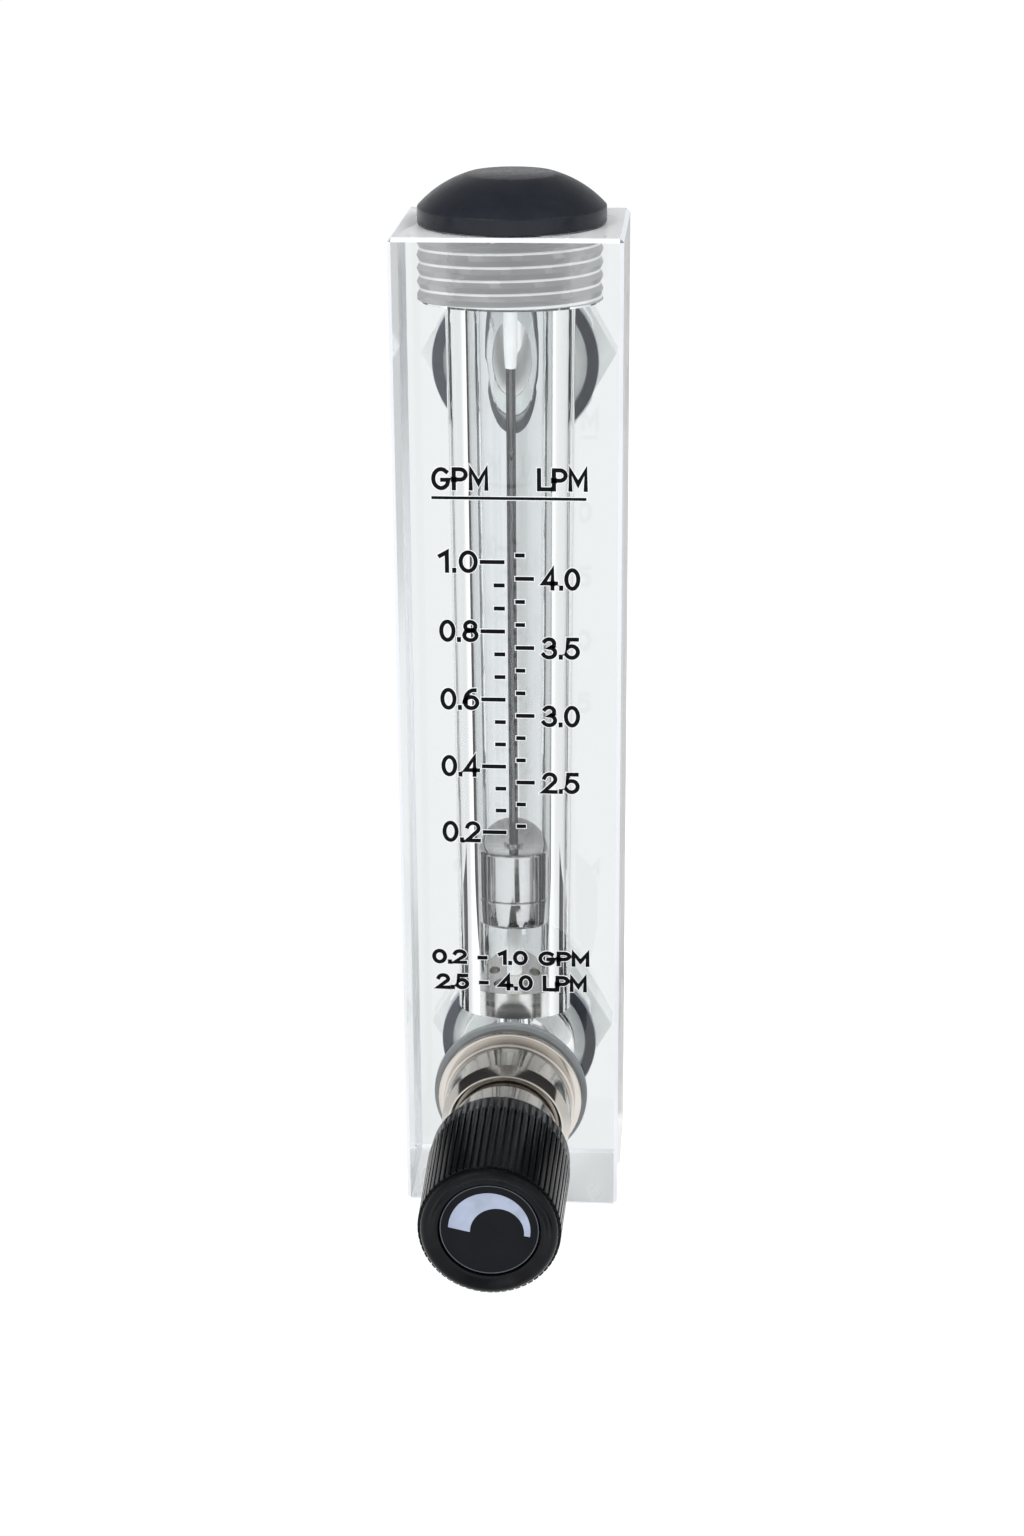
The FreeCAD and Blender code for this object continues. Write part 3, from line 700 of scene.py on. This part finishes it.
def make_plug(thread):
    """Plug with a thread below its collar, a groove for its seal and a blind hole for the rod."""
    low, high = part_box("top_plug")
    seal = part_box("plug_oring")[1]
    crest = seal.x + 0.45 * MM
    shoulder = high.z - COLLAR
    groove_in = seal.x - 2.0 * MM
    groove_out = seal.x + 0.1 * MM
    hole_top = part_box("guide_rod")[1].z + ROD_ROOM
    corners = [
        (ROD_HOLE, low.z, 0.0),
        (groove_in, low.z, 0.0),
        (groove_in, seal.z, 0.0),
        (groove_out, seal.z, 0.0),
        (groove_out, low.z, 0.0),
        (crest, low.z, 0.1 * MM, thread.plug_pitch, thread.plug_depth),
        (crest, shoulder, 0.0),
        (high.x, shoulder, 0.0),
        (high.x, high.z, 0.15 * MM),
        (0.0, high.z, 0.0),
        (0.0, hole_top, 0.0),
        (ROD_HOLE, hole_top, 0.0),
    ]
    return turned_piece("threaded_plug", corners, UPWARD, (0.0, 0.0, 0.0), 160)


class FLOW_OT_plug(bpy.types.Operator):
    """Threaded plug, its seal and the dome cap on it"""
    bl_idname = "flow_meter.plug"
    bl_label = "Plug and cap"

    def execute(self, context):
        looks = context.scene.flow_block
        plug = make_plug(context.scene.flow_thread)
        clear = acrylic("plug_acrylic", looks.plug_tint, looks.ior, 0.02, 0.05)
        dress(plug, clear, "housing", "clear_acrylic", "top_plug")
        softened_copy("plug_oring", silicone(), None, 50.0)
        softened_copy("dome_cap", cap_plastic(), 0.12 * MM, 20.0)
        return {"FINISHED"}


# ---------------------------------------------------------------- rod, stops and float

class FLOW_OT_metering(bpy.types.Operator):
    """Guide rod with its seat and stops, and the float"""
    bl_idname = "flow_meter.metering"
    bl_label = "Rod and float"

    def execute(self, context):
        steel = polished_steel()
        softened_copy("guide_rod", shaded_rod_steel(), None)
        softened_copy("rod_seat", lit_seat_nickel(), 0.08 * MM)
        for node in ("lower_stop", "upper_stop"):
            softened_copy(node, ptfe())
        for node in ("float_body", "float_base"):
            softened_copy(node, steel, 0.15 * MM)
        return {"FINISHED"}


# ---------------------------------------------------------------- valve

def make_bonnet(thread):
    """Nickelled bonnet with the thread of its shank, which shows through the block.

    Lengths run forwards from the block's front; the radii come after them.
    """
    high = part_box("valve_bonnet")[1]
    back, gasket, flange_end, step_end = FRONT - high.y, 1.0 * MM, 2.9 * MM, 4.4 * MM
    barrel_start, barrel_end, nose = 4.6 * MM, 11.2 * MM, 13.4 * MM
    ring_end, packing_end, gland_end = -5.0 * MM, 6.0 * MM, 9.0 * MM
    shank, flange, step, barrel, tip = 7.9 * MM, high.x, 10.65 * MM, 10.3 * MM, 9.3 * MM
    bore, ring_bore, packing_bore, gland_bore = 3.05 * MM, 4.05 * MM, 5.0 * MM, 7.3 * MM
    corners = [
        (ring_bore, back, 0.0),
        (shank, back, 0.3 * MM, thread.valve_pitch, 0.6 * MM),
        (shank, gasket, 0.0),
        (flange, gasket, 0.2 * MM),
        (flange, flange_end, 0.45 * MM),
        (step, flange_end, 0.0),
        (step, step_end, 0.25 * MM),
        (barrel, barrel_start, 0.0),
        (barrel, barrel_end, 0.3 * MM),
        (tip, nose, 0.3 * MM),
        (gland_bore, nose, 0.1 * MM),
        (gland_bore, gland_end, 0.0),
        (packing_bore, gland_end, 0.0),
        (packing_bore, packing_end, 0.0),
        (bore, packing_end, 0.0),
        (bore, ring_end, 0.0),
        (ring_bore, ring_end, 0.0),
    ]
    return turned_piece("turned_bonnet", corners, FORWARD, (0.0, FRONT, VALVE_HEIGHT))


class FLOW_OT_valve(bpy.types.Operator):
    """Needle valve: bonnet, gland, packing, seat and stem"""
    bl_idname = "flow_meter.valve"
    bl_label = "Needle valve"

    def execute(self, context):
        nickel = bright_nickel()
        bonnet = make_bonnet(context.scene.flow_thread)
        dress(bonnet, nickel, "housing", "nickel", "valve_bonnet")
        softened_copy("gland_nut", nickel, 0.15 * MM)
        softened_copy("valve_seat", nickel)
        softened_copy("gland_packing", ptfe())
        softened_copy("bonnet_gasket", silicone())
        softened_copy("stem_oring", slate_rubber(), None, 50.0)
        softened_copy("valve_stem", bright_nickel())
        return {"FINISHED"}


class FLOW_OT_knob(bpy.types.Operator):
    """Ribbed knob, its face disc with the turning mark, and its set screw"""
    bl_idname = "flow_meter.knob"
    bl_label = "Knob"

    def execute(self, context):
        looks = context.scene.flow_knob
        softened_copy("knob", knob_plastic(), looks.edge)
        softened_copy("knob_disc", disc_plastic())
        softened_copy("set_screw", dark_steel())
        ink = print_ink("mark_ink", looks.mark)
        dress(turning_mark(), ink, "knob", "disc_black")
        # Painted highlight: a grey ring drawn where the groove round the disc's edge is.
        dress(groove_highlight_ring(), print_ink("groove_highlight_paint", (0.10, 0.11, 0.13)), "knob", "disc_black")
        return {"FINISHED"}


def flat_band(name, outer, inner, thick):
    """Thin solid between two curves of the same number of points, on the disc's face.

    outer and inner are arrays of (across, up); the solid stands from the face by thick.
    """
    curves = np.stack([outer, outer, inner, inner])
    stand = np.array([0.0, thick, thick, 0.0])[:, None]
    points = np.stack([curves[..., 0], KNOB_FRONT - stand + 0 * curves[..., 0],
                       VALVE_HEIGHT + curves[..., 1]], axis=-1)
    count = len(outer)
    corners = count * np.arange(4)
    faces = np.vstack([grid_faces(4, count, True, False), corners, corners + count - 1])
    return mesh_object(name, points, faces)


def turning_mark():
    """Tapered crescent on the disc, between two arcs of circles.

    The outer arc is about the disc's middle, the inner one is smaller and about a centre
    beside it, so the band narrows from its left end to its right.
    """
    s = np.linspace(0.0, 1.0, 49)
    outer_angle = np.radians(177.5 - 187.0 * s)
    inner_angle = np.radians(180.0 - 186.0 * s)
    outer = 6.15 * MM * np.stack([np.cos(outer_angle), np.sin(outer_angle)], axis=-1)
    centre = np.array([1.16 * MM, -0.45 * MM])
    inner = centre + 4.05 * MM * np.stack([np.cos(inner_angle), np.sin(inner_angle)], axis=-1)
    return flat_band("turning_mark", outer, inner, 0.03 * MM)


def groove_highlight_ring():
    """Painted highlight of the groove round the disc's edge: a fine grey ring between two circles.
    """
    angle = np.linspace(0.0, 2 * np.pi, 145)
    circle = np.stack([np.cos(angle), np.sin(angle)], axis=-1)
    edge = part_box("knob_disc")[1].x
    outer, inner = edge - 0.2 * MM, edge - 0.34 * MM
    return flat_band("groove_highlight_ring", outer * circle, inner * circle, 0.02 * MM)


# ---------------------------------------------------------------- ports

def make_connector(name, thread):
    """Moulded connector with a panel thread, a pipe thread and two flats on its flange.

    Lengths run backwards from the block's rear.
    """
    low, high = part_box(f"{name}_connector")
    shank, flange, panel, pipe = 9.4 * MM, 13.4 * MM, 11.5 * MM, 10.45 * MM
    mouth, bore, flats = 9.45 * MM, 6.2 * MM, 12.0 * MM
    back, end = low.y - REAR, high.y - REAR
    gasket, flange_end, panel_end, lead_in = 1.0 * MM, 4.0 * MM, 15.0 * MM, 1.0 * MM
    corners = [
        (bore, back, 0.0),
        (shank, back, 0.3 * MM, thread.panel_pitch, 0.6 * MM),
        (shank, gasket, 0.0),
        (flange, gasket, 0.0),
        (flange, flange_end, 0.4 * MM),
        (panel, flange_end, 0.0, thread.panel_pitch, 0.75 * MM),
        (panel, panel_end, 0.4 * MM),
        (pipe, panel_end, 0.0, thread.pipe_pitch, 0.95 * MM),
        (pipe, end - lead_in, 0.0),
        (mouth, end, 0.2 * MM),
        (bore, end, 0.2 * MM),
    ]
    origin = (0.0, REAR, middle(f"{name}_connector").z)
    return turned_piece(f"{name}_threaded", corners, BACKWARD, origin, 112, flats)


class FLOW_OT_ports(bpy.types.Operator):
    """Rear connectors with their gaskets and panel nuts"""
    bl_idname = "flow_meter.ports"
    bl_label = "Ports"

    def execute(self, context):
        plastic = port_plastic()
        rubber = slate_rubber()
        for name in ("inlet", "outlet"):
            connector = make_connector(name, context.scene.flow_thread)
            dress(connector, plastic, "housing", "port_natural", f"{name}_connector")
            softened_copy(f"{name}_nut", plastic, 0.3 * MM)
            softened_copy(f"{name}_gasket", rubber)
        return {"FINISHED"}


# ---------------------------------------------------------------- printed scale

# Marks on the front face, in millimetres from its middle and from the block's foot.
# Line under the headings: left, right, bottom and top.
HEADING_LINE = (-11.45, 12.1, 120.6, 121.05)
# Texts: words, width, height, left and bottom.
TEXTS = (("GPM", 8.7, 3.6, -11.45, 122.0), ("LPM", 7.7, 3.6, 4.6, 122.0),
         ("0.2 - 1.0 GPM", 25.4, 2.6, -12.6, 43.4), ("2.5 - 4.0 LPM", 24.4, 2.8, -12.0, 38.9))
# Distance between numbered ticks, and the first one of the left and of the right scale.
TICK_STEP = 11.1
LEFT_START, RIGHT_START = 66.4, 74.9
# Gap between two letters, where a letter is one unit high.
LETTER_GAP = 0.24
# Smallest cosine that a stroke's corner is mitred with, which keeps a sharp corner short.
MITRE_LIMIT = 0.4


def bars(name, boxes, thick, grow=0.0):
    """Thin bars on the front face; boxes are (left, right, bottom, top)."""
    edges = np.array(boxes, float) + grow * np.array([-1.0, 1.0, -1.0, 1.0])
    left, right, bottom, top = edges.T
    near = np.full_like(left, FRONT)
    far = near - thick
    ring = [(left, bottom), (right, bottom), (right, top), (left, top)]
    layers = [np.stack([x, y, z], axis=-1) for y in (near, far) for x, z in ring]
    points = np.stack(layers, axis=1)
    sides = np.array([[0, 1, 5, 4], [1, 2, 6, 5], [2, 3, 7, 6], [3, 0, 4, 7], [3, 2, 1, 0],
                      [4, 5, 6, 7]])
    faces = (sides[None] + 8 * np.arange(len(edges))[:, None, None]).reshape(-1, 4)
    return mesh_object(name, points, faces)


def arc(x, y, wide, high, start, stop, steps=15):
    """Ellipse arc (x + wide cos t, y + high sin t) for t from start to stop in degrees."""
    turn = np.radians(np.linspace(start, stop, steps))
    return np.stack([x + wide * np.cos(turn), y + high * np.sin(turn)], axis=-1)


def line(*corners):
    """Straight strokes through corners."""
    return np.array(corners, float)


def strokes():
    """Centre lines of the characters in a box one unit high, with each one's width."""
    return {
        " ": (0.30, []),
        ".": (0.04, [line((0.02, 0.0), (0.02, 0.06))]),
        "-": (0.34, [line((0.0, 0.45), (0.34, 0.45))]),
        "0": (0.60, [arc(0.3, 0.5, 0.3, 0.5, 0, 360, 29)]),
        "1": (0.30, [line((0.0, 0.80), (0.27, 1.0), (0.27, 0.0))]),
        "2": (0.58, [np.vstack([arc(0.29, 0.71, 0.28, 0.29, 165, -35),
                                line((0.0, 0.0), (0.58, 0.0))])]),
        "3": (0.58, [np.vstack([arc(0.27, 0.76, 0.25, 0.24, 150, -75),
                                arc(0.27, 0.27, 0.30, 0.27, 75, -155)])]),
        "4": (0.64, [line((0.46, 0.0), (0.46, 1.0), (0.0, 0.27), (0.64, 0.27))]),
        "5": (0.58, [np.vstack([line((0.52, 1.0), (0.10, 1.0), (0.05, 0.52)),
                                arc(0.27, 0.32, 0.30, 0.32, 125, -150)])]),
        "6": (0.60, [arc(0.3, 0.31, 0.3, 0.31, 0, 360, 25),
                     arc(0.46, 0.40, 0.46, 0.60, 183, 88)]),
        "8": (0.60, [arc(0.3, 0.76, 0.25, 0.24, 0, 360, 25),
                     arc(0.3, 0.27, 0.3, 0.27, 0, 360, 25)]),
        "G": (0.76, [np.vstack([arc(0.38, 0.5, 0.38, 0.5, 48, 322),
                                line((0.74, 0.44), (0.44, 0.44))])]),
        "L": (0.50, [line((0.0, 1.0), (0.0, 0.0), (0.50, 0.0))]),
        "M": (0.76, [line((0.0, 0.0), (0.0, 1.0), (0.38, 0.28), (0.76, 1.0), (0.76, 0.0))]),
        "P": (0.58, [np.vstack([line((0.0, 0.0), (0.0, 1.0)), arc(0.30, 0.73, 0.28, 0.27, 90, -90),
                                line((0.0, 0.46))])]),
    }


def ribbon(name, path, wide, thick):
    """Flat band along a path on the front face: a rectangle wide by thick carried along it.

    A corner of the section is P +- wide / 2 * N / c, with N the mean normal of the two
    neighbouring lengths and c its cosine with either of them, so that the corners are mitred.
    """
    loop = np.allclose(path[0], path[-1])
    ahead = np.diff(path, axis=0)
    ahead /= np.linalg.norm(ahead, axis=1)[:, None]
    if not loop:
        path = np.vstack([path[0] - ahead[0] * wide / 2, path[1:-1],
                          path[-1] + ahead[-1] * wide / 2])
    before = np.vstack([ahead[-1] if loop else ahead[0], ahead])
    after = np.vstack([ahead, ahead[0] if loop else ahead[-1]])
    mean = before + after
    mean /= np.maximum(np.linalg.norm(mean, axis=1), 1e-9)[:, None]
    cosine = np.maximum((mean * after).sum(axis=1), MITRE_LIMIT)
    side = np.stack([-mean[:, 1], mean[:, 0]], axis=-1) * (wide / 2 / cosine)[:, None]
    rows = []
    for edge, y in ((side, FRONT), (side, FRONT - thick), (-side, FRONT - thick), (-side, FRONT)):
        flat = path + edge
        rows.append(np.stack([flat[:, 0], np.full(len(flat), y), flat[:, 1]], axis=-1))
    faces = grid_faces(len(path), 4, False)
    if not loop:
        corners = np.arange(4)
        faces = np.vstack([faces, corners[::-1], corners + 4 * (len(path) - 1)])
    return mesh_object(name, np.stack(rows, axis=1), faces)


def lettering(name, text, width, height, left, bottom, stroke, thick, grow):
    """Text in single strokes, fitted to a width and a height; returns its ribbons."""
    shapes = strokes()
    total = sum(shapes[letter][0] + LETTER_GAP for letter in text) - LETTER_GAP
    across = (width - stroke) / total
    place = left + stroke / 2
    pieces = []
    for letter in text:
        advance, paths = shapes[letter]
        for path in paths:
            fitted = path * np.array([across, height - stroke])
            fitted = fitted + np.array([place, bottom + stroke / 2])
            pieces.append(ribbon(name, fitted, stroke + 2 * grow, thick))
        place += (advance + LETTER_GAP) * across
    return pieces


def joined(name, pieces):
    """One object from several, with its faces outwards."""
    shape = bmesh.new()
    for piece in pieces:
        shape.from_mesh(piece.data)
        bpy.data.objects.remove(piece)
    return closed_object(name, bpy.data.meshes.new(name), shape, 0.0002 * MM)


def ticks(first, step, count, extra_low, extra_high):
    """Heights of the numbered ticks and of the thirds between and beyond them."""
    major = first + step * np.arange(count)
    index = np.arange(-extra_low, 3 * (count - 1) + extra_high + 1)
    thirds = first + step / 3 * index
    return major, thirds[index % 3 != 0]


def print_layer(looks, name, thick, grow):
    """Every printed mark once, grown by a margin, as one piece."""
    stroke = looks.stroke
    boxes = [tuple(side * MM for side in HEADING_LINE)]
    left_major, left_minor = ticks(LEFT_START * MM, TICK_STEP * MM, 5, 0, 0)
    right_major, right_minor = ticks(RIGHT_START * MM, TICK_STEP * MM, 4, 2, 1)
    for heights, start, stop in ((left_major, -4.2, -0.4), (left_minor, -2.1, -0.4),
                                 (right_major, 1.2, 4.1), (right_minor, 1.2, 2.7)):
        boxes += [(start * MM, stop * MM, z - stroke / 2, z + stroke / 2) for z in heights]
    parts = [bars(f"{name}_lines", boxes, thick, grow)]
    half = looks.digit / 2
    texts = list(TEXTS)
    for index, z in enumerate(left_major):
        texts.append((f"{0.2 * (index + 1):.1f}", 6.1, looks.digit / MM, -10.6, (z - half) / MM))
    for index, z in enumerate(right_major):
        texts.append((f"{2.5 + 0.5 * index:.1f}", 6.0, looks.digit / MM, 5.2, (z - half) / MM))
    for text, width, height, left, bottom in texts:
        parts += lettering(f"{name}_text", text, width * MM, height * MM, left * MM, bottom * MM,
                           stroke, thick, grow)
    return joined(name, parts)


class FLOW_OT_print(bpy.types.Operator):
    """Printed scale: white underprint with black ink over it"""
    bl_idname = "flow_meter.print"
    bl_label = "Printed scale"

    def execute(self, context):
        looks = context.scene.flow_print
        under = print_layer(looks, "scale_underprint", 0.012 * MM, looks.edging)
        dress(under, print_ink("white_ink", (0.86, 0.88, 0.90)), "housing", "clear_acrylic")
        ink = print_layer(looks, "scale_ink", 0.03 * MM, 0.0)
        dress(ink, print_ink("black_ink", looks.ink), "housing", "clear_acrylic")
        return {"FINISHED"}


# ---------------------------------------------------------------- stage

def emitter(name, strength):
    """Material that gives plain white light; returns it with its node tree and shader."""
    material = bpy.data.materials.new(name)
    material.use_nodes = True
    tree = material.node_tree
    tree.nodes.clear()
    glow = tree.nodes.new("ShaderNodeEmission")
    glow.inputs["Strength"].default_value = strength
    out = tree.nodes.new("ShaderNodeOutputMaterial")
    tree.links.new(glow.outputs["Emission"], out.inputs["Surface"])
    return material, tree, glow


def stage_mesh(name, points, faces, material):
    """Stage object from arrays of points and faces."""
    mesh = array_mesh(name, points, faces)
    mesh.materials.append(material)
    item = linked(name, mesh)
    return item


def upright_sheet(name, inner, outer, y, low, high, material):
    """Flat stage piece that stands across Y, from x inner to outer and from z low to high."""
    corners = np.array([[inner, y, low], [outer, y, low], [outer, y, high], [inner, y, high]])
    return stage_mesh(name, corners, np.array([[0, 1, 2, 3]]), material)


def level_sheet(name, left, right, front, back, z, material):
    """Flat stage piece that lies across Z, from x left to right and from y front to back."""
    corners = np.array([[left, front, z], [right, front, z], [right, back, z], [left, back, z]])
    return stage_mesh(name, corners, np.array([[0, 1, 2, 3]]), material)


def make_floor():
    """White floor: a pale matt surface that also glows a little, so only shadows show."""
    material, tree, shader = new_material("floor_paper", (0.45, 0.45, 0.45), 1.0)
    shader.inputs["Specular IOR Level"].default_value = 0.0
    glow = tree.nodes.new("ShaderNodeEmission")
    glow.inputs["Strength"].default_value = 0.70
    both = tree.nodes.new("ShaderNodeAddShader")
    tree.links.new(shader.outputs["BSDF"], both.inputs[0])
    tree.links.new(glow.outputs["Emission"], both.inputs[1])
    tree.links.new(both.outputs["Shader"], tree.nodes["Material Output"].inputs["Surface"])
    reach = 4.0
    level_sheet("floor", -reach, reach, -reach, reach, -0.25 * MM, material)


def unseen(item):
    """Hide a stage piece from all but clear and shiny pieces; it casts no shadow either."""
    item.visible_camera = False
    item.visible_shadow = False
    item.visible_diffuse = False


# Glow of the tent by bearing from the block's right side: 0 and 1 are behind, 0.25 is left,
# 0.5 in front and 0.75 right.
BEARING_GLOW = (
    (0.00, 0.62), (0.06, 0.62), (0.10, 0.60), (0.17, 0.58), (0.22, 0.58), (0.25, 0.80),
    (0.35, 0.85), (0.44, 0.95), (0.56, 0.95), (0.64, 0.85), (0.74, 0.75), (0.78, 0.62),
    (0.86, 0.58), (0.93, 0.54), (0.975, 0.42), (0.999, 0.42), (1.0, 0.62),
)
# Share of that glow by the height in metres.
HEIGHT_GLOW = ((0.0, 1.0), (0.10, 1.0), (0.35, 0.6), (0.60, 0.35), (1.0, 0.35))
# Least glow near the foot by the distance from the middle, as a share of FOOT_REACH.
FOOT_GLOW = ((0.0, 0.60), (0.25, 0.60), (0.30, 0.0))
FOOT_REACH = 0.1
TENT_GAIN = 1.5


def tent_cloth():
    """Cloth whose glow is a function of the bearing times one of the height.

    The bands that it makes in the block so stand upright. Near the foot it glows at least
    by a function of the distance from the middle.
    """
    material, tree, glow = emitter("tent_cloth", 1.0)
    x, y, z = object_axes(tree)
    ahead = combine(tree, "MULTIPLY", y, -1.0)
    aside = combine(tree, "SUBTRACT", x, BLOCK_HIGH.x)
    bearing = combine(tree, "ARCTAN2", aside, ahead)
    share = combine(tree, "MULTIPLY_ADD", bearing, 0.5 / math.pi)
    share.node.inputs[2].default_value = 0.5
    by_bearing = ramp_of(tree, share, BEARING_GLOW)
    both = combine(tree, "MULTIPLY", by_bearing, ramp_of(tree, z, HEIGHT_GLOW))
    across = combine(tree, "MULTIPLY", x, x)
    along = combine(tree, "MULTIPLY", y, y)
    reach = combine(tree, "SQRT", combine(tree, "ADD", across, along), 0.0)
    foot = ramp_of(tree, combine(tree, "MULTIPLY", reach, 1.0 / FOOT_REACH), FOOT_GLOW)
    both = combine(tree, "MAXIMUM", both, foot)
    tree.links.new(combine(tree, "MULTIPLY", both, TENT_GAIN), glow.inputs["Strength"])
    return material


def make_tent(radius):
    """Tent round the meter: floor ring, quarter-round corner, wall and dome.

    They are one profile, turned about Z.
    """
    corner, wall_top, rise = 0.15, 0.5, 0.5
    hole, low = 1.0 * MM, -0.1 * MM
    around = 96
    turn = np.linspace(0.0, np.pi / 2, 9)
    flat = np.stack([np.linspace(hole, radius - corner, 6), np.full(6, low)], axis=-1)
    bend = np.stack([radius - corner + corner * np.sin(turn),
                     corner - corner * np.cos(turn) + low], axis=-1)
    dome = np.stack([radius * np.cos(turn), wall_top + rise * np.sin(turn)], axis=-1)
    profile = np.vstack([flat, bend[1:], dome])
    angle = np.arange(around) * 2 * np.pi / around
    points = np.stack([profile[:, :1] * np.cos(angle), profile[:, :1] * np.sin(angle),
                       profile[:, 1:] + 0 * angle], axis=-1)
    faces = grid_faces(len(profile), around, False)
    unseen(stage_mesh("light_tent", points, faces, tent_cloth()))


def make_flags(grey):
    """Dark flags for what metal inside the block shows.

    One on each side flush with the front face and one low behind the block show through its
    side walls; a card flat on the floor in front shows through its front face.
    """
    material = emitter("flag_cloth", grey)[0]
    near = BLOCK_HIGH.x + 0.5 * MM
    upright = (
        ("flag", near, near + 45 * MM, FRONT - 1.0 * MM, 34 * MM, TOP),
        ("low_flag", near + 6 * MM, near + 29 * MM, REAR + 1.0 * MM, 10 * MM, 45 * MM),
    )
    for kind, inner, outer, y, low, high in upright:
        for name, side in (("left_", -1.0), ("right_", 1.0)):
            unseen(upright_sheet(name + kind, side * inner, side * outer, y, low, high, material))
    left, right, front, back = 14 * MM, 52 * MM, -152 * MM, -105 * MM
    unseen(level_sheet("floor_flag", left, right, front, back, 0.1 * MM, material))


def make_world():
    """Soft sky for light; plain white where it is seen directly, in metal or through glass."""
    world = bpy.data.worlds.new("studio")
    bpy.context.scene.world = world
    world.use_nodes = True
    tree = world.node_tree
    soft = tree.nodes["Background"]
    soft.inputs["Color"].default_value = (0.93, 0.95, 1.0, 1.0)
    soft.inputs["Strength"].default_value = 0.7
    plain = tree.nodes.new("ShaderNodeBackground")
    plain.inputs["Color"].default_value = (1.0, 1.0, 1.0, 1.0)
    path = tree.nodes.new("ShaderNodeLightPath")
    seen = combine(tree, "MAXIMUM", path.outputs["Is Camera Ray"], path.outputs["Is Glossy Ray"])
    seen = combine(tree, "MAXIMUM", seen, path.outputs["Is Transmission Ray"])
    mix_shaders(tree, seen, soft.outputs["Background"], plain.outputs["Background"],
                "World Output")


def area_lamp(name, place, size, power):
    """Square soft lamp aimed at the middle of the meter."""
    light = bpy.data.lights.new(name, "AREA")
    light.size = size
    light.energy = power
    lamp = linked(name, light)
    way = Vector((0.0, 0.0, TOP / 2)) - Vector(place)
    lamp.rotation_mode = "QUATERNION"
    lamp.rotation_quaternion = way.to_track_quat("-Z", "Y")
    lamp.location = place


def make_camera():
    """Camera a little right of the meter and above it, looking down by about 20 degrees."""
    place = (0.0306, -0.4207, 0.2281)
    yaw, pitch, roll = -0.074, -0.355, -0.007
    right = Vector((math.cos(yaw), -math.sin(yaw), 0.0))
    ahead = Vector((math.sin(yaw) * math.cos(pitch), math.cos(yaw) * math.cos(pitch),
                    math.sin(pitch)))
    above = right.cross(ahead)
    tilted_right = math.cos(roll) * right + math.sin(roll) * above
    tilted_above = math.cos(roll) * above - math.sin(roll) * right
    data = bpy.data.cameras.new("camera")
    data.sensor_width = 36.0
    data.lens = 64.8
    data.clip_start = 0.01
    camera = linked("camera", data)
    turn = Matrix((tilted_right, tilted_above, -ahead)).transposed()
    camera.matrix_world = Matrix.Translation(place) @ turn.to_4x4()
    bpy.context.scene.camera = camera


class FLOW_OT_stage(bpy.types.Operator):
    """Floor, light tent, dark flags, lamps, sky and camera"""
    bl_idname = "flow_meter.stage"
    bl_label = "Stage"

    def execute(self, context):
        looks = context.scene.flow_stage
        make_floor()
        make_tent(looks.tent_radius)
        make_flags(looks.flag_grey)
        make_world()
        area_lamp("key_lamp", (-0.5, -0.6, 0.9), 0.5, looks.key_power)
        area_lamp("fill_lamp", (0.6, -0.3, 0.8), 0.4, looks.fill_power)
        make_camera()
        context.scene.view_settings.view_transform = "Standard"
        return {"FINISHED"}


# ---------------------------------------------------------------- panel and run

class FLOW_PT_panel(bpy.types.Panel):
    """Sidebar panel with the meter's settings and steps"""
    bl_idname = "FLOW_PT_panel"
    bl_label = "Flow meter"
    bl_space_type = "VIEW_3D"
    bl_region_type = "UI"
    bl_category = "Flow meter"

    def draw(self, context):
        layout = self.layout
        for name, group in SETTINGS.items():
            box = layout.box()
            for prop in group.__annotations__:
                box.prop(getattr(context.scene, name), prop)
        for step in STEPS:
            layout.operator(step.bl_idname)


SETTINGS = {
    "flow_block": BlockSettings,
    "flow_thread": ThreadSettings,
    "flow_print": PrintSettings,
    "flow_knob": KnobSettings,
    "flow_stage": StageSettings,
}
STEPS = (FLOW_OT_block, FLOW_OT_plug, FLOW_OT_metering, FLOW_OT_valve, FLOW_OT_knob, FLOW_OT_ports,
         FLOW_OT_print, FLOW_OT_stage)


def register():
    """Register settings, steps and panel."""
    for group in (*SETTINGS.values(), *STEPS, FLOW_PT_panel):
        bpy.utils.register_class(group)
    for name, group in SETTINGS.items():
        setattr(bpy.types.Scene, name, PointerProperty(type=group))


def unregister():
    """Take settings, steps and panel out again."""
    for name in SETTINGS:
        delattr(bpy.types.Scene, name)
    for group in reversed((*SETTINGS.values(), *STEPS, FLOW_PT_panel)):
        bpy.utils.unregister_class(group)


def main():
    """Run every step in order."""
    register()
    bpy.ops.flow_meter.block()
    bpy.ops.flow_meter.plug()
    bpy.ops.flow_meter.metering()
    bpy.ops.flow_meter.valve()
    bpy.ops.flow_meter.knob()
    bpy.ops.flow_meter.ports()
    bpy.ops.flow_meter.print()
    bpy.ops.flow_meter.stage()


if __name__ == "__main__":
    main()
